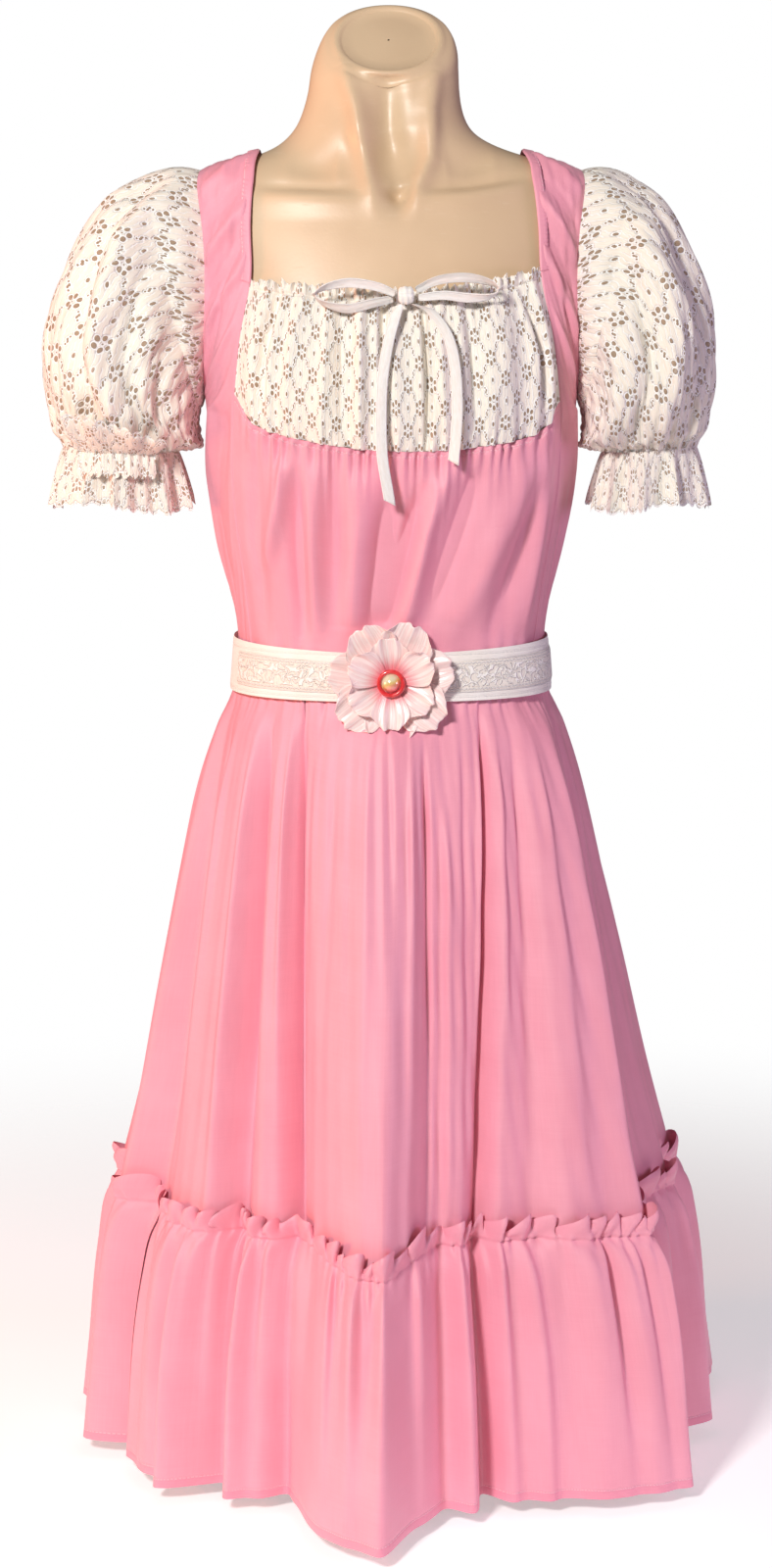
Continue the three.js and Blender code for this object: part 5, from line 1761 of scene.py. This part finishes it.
    def ripple(self, angle: Array, z: Array) -> Array:
        """The small folds and the gathers under the belt."""
        below = BELT_LOW_Z - z
        turn = np.radians(angle)
        gathers = np.cos(turn * 52 + 3.0 * wander(turn * 6, 1.0)) * 2.0
        gathers = gathers + np.cos(turn * 97 + 2.0 * wander(turn * 9, 3.0))
        gathers = 0.42 * gathers * np.exp(-np.abs(below) / 16) * ease(below, -12, 4)
        behind = 3.0 * wander(turn * 17, 2.0) * ease(np.abs(np.mod(angle + 180, 360) - 180), 95, 120)
        behind = behind * ease(below, 5, 90) * ease(z, 230, 420)
        soft = 1.0 * wander(turn * 15 + z / 200, 0.6) * ease(below, 10, 80)
        return gathers + behind + soft + self.small_folds(angle, z)

    def small_folds(self, angle: Array, z: Array) -> Array:
        """The creases, whose lines lean as the gores' seams do and widen downwards."""
        low = self.low_angle(angle, z)
        total = np.zeros(np.shape(angle))
        for crease in self.creases:
            (top_angle, top), (end_angle, end) = crease.line
            middle = np.interp(z, [end, top], [end_angle, top_angle])
            ends = ease(z, end - 120, end + 60) * ease(z, top + 10, top - 90)
            width = crease.width * (0.62 + 0.3 * ease(z, 620, 300))
            total = total + 1.15 * crease.height * ends * bell(low, middle, width)
        return total

    def panels(self) -> None:
        """Make the four gores, each sewn to the next."""
        seams = [*SEAM_ANGLES[1:], tuple(angle + 360 for angle in SEAM_ANGLES[1])]
        for (name, width), (high, low), (high_end, low_end) in zip(self.gores, seams, seams[1:]):
            columns = round((high_end - high) * (2.6 if name != "back" else 1.8))
            u, t = field_of(shares(columns), np.linspace(1, 0, 110))
            z = lerp(WAIST_Z, GORE_FOOT_Z, t)
            start, end = lerp(high, low, t), lerp(high_end, low_end, t)
            angle = lerp(start, end, u)
            seam = -0.9 * (np.exp(-u * columns / 2.2) + np.exp(-(1 - u) * columns / 2.2))
            out = self.ripple(angle, z) + seam - 2.6 * ease(z, 250, 228)
            sheet = Sheet(self.surface(angle, z, out), (low_end - low) * 4.0)
            area = width * self.gore_length * self.gore_fill
            ROOM.piece(f"skirt_{name}_gore", [sheet], PinkCotton(), [f"skirt_{name}"])

    def flounce_points(self, angle: Array, v: Array) -> Array:
        """Points of the flounce, v being 0 at the hem, 1 at the gathers and 2 at the heading's edge."""
        turn = np.radians(angle)
        phase = turn * 42 + 1.6 * np.sin(turn * 7) + 1.1 * np.cos(turn * 11)
        below = np.clip(1 - v, 0, 1)
        crest = np.maximum(self.fold(angle, 3.0), 0) * 0.62
        line = FLOUNCE_Z - 0.24 * crest
        z = lerp(HEM_Z, line, np.minimum(v, 1.0)) + np.maximum(v - 1, 0) * self.heading
        second_phase = 2.1 * phase + 2.0 * wander(turn * 7, 1.9)
        broad = np.cos(0.5 * phase + 1.4 * wander(turn * 5, 0.8)) * 6.0 * ease(below, 0.0, 0.8)
        middle = np.cos(phase) * (2.0 + 5.4 * ease(below, 0, 0.16)) * (1 - 0.5 * ease(below, 0.3, 1.0))
        second = np.cos(second_phase) * 3.0 * ease(below, 0.0, 0.05) * np.exp(-below / 0.34)
        fine = np.cos(3.4 * phase + 2.0 * wander(turn * 11, 0.5)) * 1.3 * np.exp(-below / 0.08)
        out = 4.0 * np.minimum(v, 1) + 4.0 * ease(below, 0, 0.1) * (1 - ease(below, 0.12, 0.7))
        out = out + (broad + middle + second) * (0.8 + 0.3 * wander(turn * 8, 2.2)) + fine
        out = out - 2.0 * bell(v, 1.0, 0.014)
        head = np.clip(v - 1, 0, 1)
        wave = 0.45 * np.cos(phase) + np.cos(second_phase)
        standing = ease(head, 0, 1)
        out = out * (1 - standing) + ease(head, 0, 0.9) * (6.0 + 4.6 * wave) + 1.2 * np.sin(np.pi * head)
        rise = 4.2 * np.sin(second_phase + 0.6) + 4.0 * np.sin(phase + 1.1) + 2.5 * wander(turn * 15, 1.4)
        slip = 0.9 * np.sin(second_phase + 0.3) + 0.8 * np.sin(phase)
        points = self.surface(angle + standing * slip, z, out)
        points[..., 2] += standing * rise
        return points

    def flounce(self) -> None:
        """Make the four strips of the flounce, with a narrow stitched hem and a standing heading."""
        spans = [np.linspace(0, 0.92, 40), np.linspace(0.94, 1.0, 9), np.linspace(1.08, 2.0, 13)]
        cloth = PinkCotton(stitches=(7.5,), hem=8.5)
        for name, gore, width, start, end in self.strips:
            columns = np.linspace(start, end, round((end - start) * 4.6))
            angle, v = field_of(columns, np.concatenate(spans))
            sheet = Sheet(self.flounce_points(angle, v), (end - start) * 7.5)
            ROOM.piece(f"flounce_{name}_strip", [sheet], cloth, [f"flounce_{name}"])

    def build(self) -> None:
        """Make the skirt and its flounce."""
        self.panels()
        self.flounce()


@dataclass
class Belt:
    """The belt with its embroidered ribbon."""

    low: float = BELT_LOW_Z
    high_front: float = 711.0
    high_side: float = 716.0
    lift: float = LIFT + 4.6
    ribbon_low: float = 0.17
    ribbon_high: float = 0.8

    def surface(self, angle: Array, v: Array, out: Array | float = 0.0) -> Array:
        """Points of the belt at an angle in radians and a share of its height."""
        z = lerp(self.low, lerp(self.high_front, self.high_side, np.sin(angle) ** 2), v)
        ends = [[TORSO.size(c, at) for c in ("side", "front", "back")] for at in (self.low, self.high_front)]
        x, y = oval(angle, *(lerp(low, high, v) + self.lift for low, high in zip(*ends)))
        return stack(x + out * np.sin(angle), y - out * np.cos(angle), z)

    def build(self) -> None:
        """Make the belt and the ribbon on it."""
        angle, v = field_of(all_round(260), shares(14))
        swell = 0.5 * rounded(v, 8) + 0.35 * wander(angle * 6, 1.0) * np.sin(np.pi * v)
        belt = Sheet(self.surface(angle, v, swell - 0.3), 2 * math.pi * 115, closed=True)
        ROOM.piece(
            "belt_band",
            [belt],
            BeltCotton(42.0),
            ["belt"],
        )
        angle, v = field_of(np.radians(np.linspace(-72, 240, 240)), shares(12))
        height = lerp(self.ribbon_low, self.ribbon_high, v)
        swell = 0.9 * rounded(v, 6) + 0.35 * wander(angle * 6, 1.0)
        ribbon = Sheet(self.surface(angle, height, swell + 0.5), 640.0)
        ROOM.piece(
            "belt_ribbon_strip",
            [ribbon],
            Embroidery(27.5),
            ["belt_ribbon"],
        )


@dataclass
class Flower:
    """The fabric flower on the belt: two rounds of petals, a red ring and a pearly dome."""

    x: float = 0.0
    z: float = 688.0
    lift: float = LIFT + 4.6 + 0.9 + SEAM

    @property
    def heart(self) -> float:
        """Y of the flower's back, on the ribbon."""
        return -(float(TORSO.size("front", self.z)) + self.lift)

    def petal(self, turn: float, reach: float, broad: float, cup: float, start: float, seed: float) -> Sheet:
        """One petal.

        Args:
            turn: its angle, clockwise from the top.
            reach: its length.
            broad: its half width.
            cup: how far its tip stands forward.
            start: y of its root.
            seed: what sets its ruffles apart from the others'.

        Returns:
            The petal.
        """
        s, v = field_of(np.linspace(-1, 1, 32), shares(28))
        swell = broad * np.sin(np.pi * np.clip(0.05 + 0.62 * v**0.95, 0, 1)) ** 0.9
        tip = 1 - 0.30 * np.abs(s) ** 2.4 * v**1.5 - 0.05 * bell(s, 0, 0.16) * v**5
        tip = tip - 0.012 * np.cos(5.0 * np.pi * s + seed) * v**4
        r = 5.0 + (reach - 5.0) * v * tip
        side = s * swell
        ruffle = (2.2 * np.cos(2.2 * np.pi * s + seed) + 0.7 * np.cos(4.7 * np.pi * s + 2 * seed)) * v**2.2
        veins = 0.25 * np.cos(9 * np.pi * s + seed) * v * (1.1 - v)
        centre_line = -1.4 * bell(s, 0, 0.16) * np.sin(np.pi * v)
        forward = cup * v**1.3 - 2.0 * v**6 + 3.0 * (s**2) * v + ruffle + veins + centre_line
        x = self.x + r * math.sin(turn) + side * math.cos(turn)
        z = self.z + r * math.cos(turn) - side * math.sin(turn)
        return Sheet(stack(x, start - forward, z), 2 * broad)

    def round_of(
        self, count: int, reach: float, broad: float, cup: float, start: float, offset: float
    ) -> list[Sheet]:
        """A round of petals, each a little different."""
        made = []
        for i in range(count):
            uneven = math.sin(i * 12.9898 + offset) * 0.5
            turn = 2 * math.pi * (i + 0.22 * uneven) / count + offset
            length, width = reach * (1 + 0.07 * uneven), broad * (1 - 0.05 * uneven)
            made.append(self.petal(turn, length, width, cup + uneven, start + 2.2 * (i % 2), 1.9 * i))
        return made

    def build(self) -> None:
        """Make the petals, the ring and the dome."""
        heart = self.heart
        rounds = (
            ("outer", self.round_of(7, 52.0, 23.0, 8.0, heart - 2.2, 0.35), PetalSilk(50.0, 0.42)),
            ("inner", self.round_of(6, 38.0, 16.5, 9.0, heart - 6.6, 0.95), PetalSilk(34.0, 0.62)),
        )
        for name, petals, silk in rounds:
            ROOM.piece(f"flower_{name}_petals", petals, silk, [f"flower_{name}"], thick=PETAL_WALL)
        self.centre(heart - 10.1)

    def ring_points(self, turn: Array, radius: Array, y: Array) -> Array:
        """Points round the flower's middle."""
        return stack(self.x + radius * np.sin(turn), y, self.z + radius * np.cos(turn))

    def centre(self, y: float) -> None:
        """Make the ring and the dome, which face forward from y."""
        angle = all_round(72)
        section = np.linspace(0, 2 * np.pi, 17)
        t, s = field_of(angle, section)
        radius = 9.9 + 1.7 * np.cos(s)
        deep = 1.5 + 1.6 * np.sin(s) + 0.12 * np.sin(34 * t)
        ring = Sheet(self.ring_points(t, radius, y - deep), 62.0, closed=True)
        ROOM.piece("flower_ring_cord", [ring], Enamel(), ["flower_ring"])
        t, s = field_of(angle, shares(26))
        radius = 8.0 * np.sin(np.pi / 2 * (1 - s) ** 0.9) + 0.02
        deep = 5.6 * (1 - (radius / 8.2) ** 2.2) - 0.2
        dome = Sheet(self.ring_points(t, radius, y - deep), 50.0, closed=True)
        ROOM.piece("flower_dome_button", [dome], Pearl(), ["flower_dome"])


LEFT_SLEEVE_FOLDS = (
    Crease(((22, 18), (48, 90), (80, 185)), 9.0, -7.5),
    Crease(((40, 20), (66, 90), (96, 175)), 9.0, 6.0),
    Crease(((70, 25), (92, 90), (116, 170)), 8.0, -5.0),
    Crease(((-10, 30), (0, 100), (24, 180)), 9.0, -3.5),
    Crease(((108, 30), (122, 90), (140, 170)), 9.0, -4.0),
    Crease(((-60, 25), (-74, 90), (-96, 175)), 10.0, -6.0),
    Crease(((-110, 30), (-120, 90), (-136, 170)), 10.0, -5.0),
)
RIGHT_SLEEVE_FOLDS = (
    Crease(((18, 18), (30, 90), (52, 185)), 9.0, -6.0),
    Crease(((48, 20), (62, 90), (84, 175)), 9.0, 4.5),
    Crease(((76, 22), (88, 90), (104, 175)), 9.0, -6.5),
    Crease(((110, 28), (118, 90), (132, 170)), 9.0, 4.0),
    Crease(((-14, 30), (-12, 100), (6, 180)), 9.0, -4.0),
    Crease(((-62, 25), (-78, 90), (-100, 175)), 10.0, -6.0),
    Crease(((-112, 30), (-122, 90), (-138, 170)), 10.0, -5.0),
)


def corners(low: Vector, high: Vector) -> list[list[float]]:
    """A box's two corners as plain numbers."""
    return [list(low), list(high)]


def main() -> None:
    """Build the scene, piece by piece."""
    logging.basicConfig(level=logging.INFO, format="%(message)s")
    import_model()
    studio = Studio()
    studio.camera()
    Bow().build()
    DressForm().build()
    bodice = Bodice()
    bodice.build()
    Sleeve("left", -1, 1.0, bodice, LEFT_SLEEVE_FOLDS).build()
    Sleeve("right", 1, 0.83, bodice, RIGHT_SLEEVE_FOLDS).build()
    Skirt().build()
    Belt().build()
    Flower().build()
    studio.light()
    studio.floor()
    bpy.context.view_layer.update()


if __name__ == "__main__":
    main()
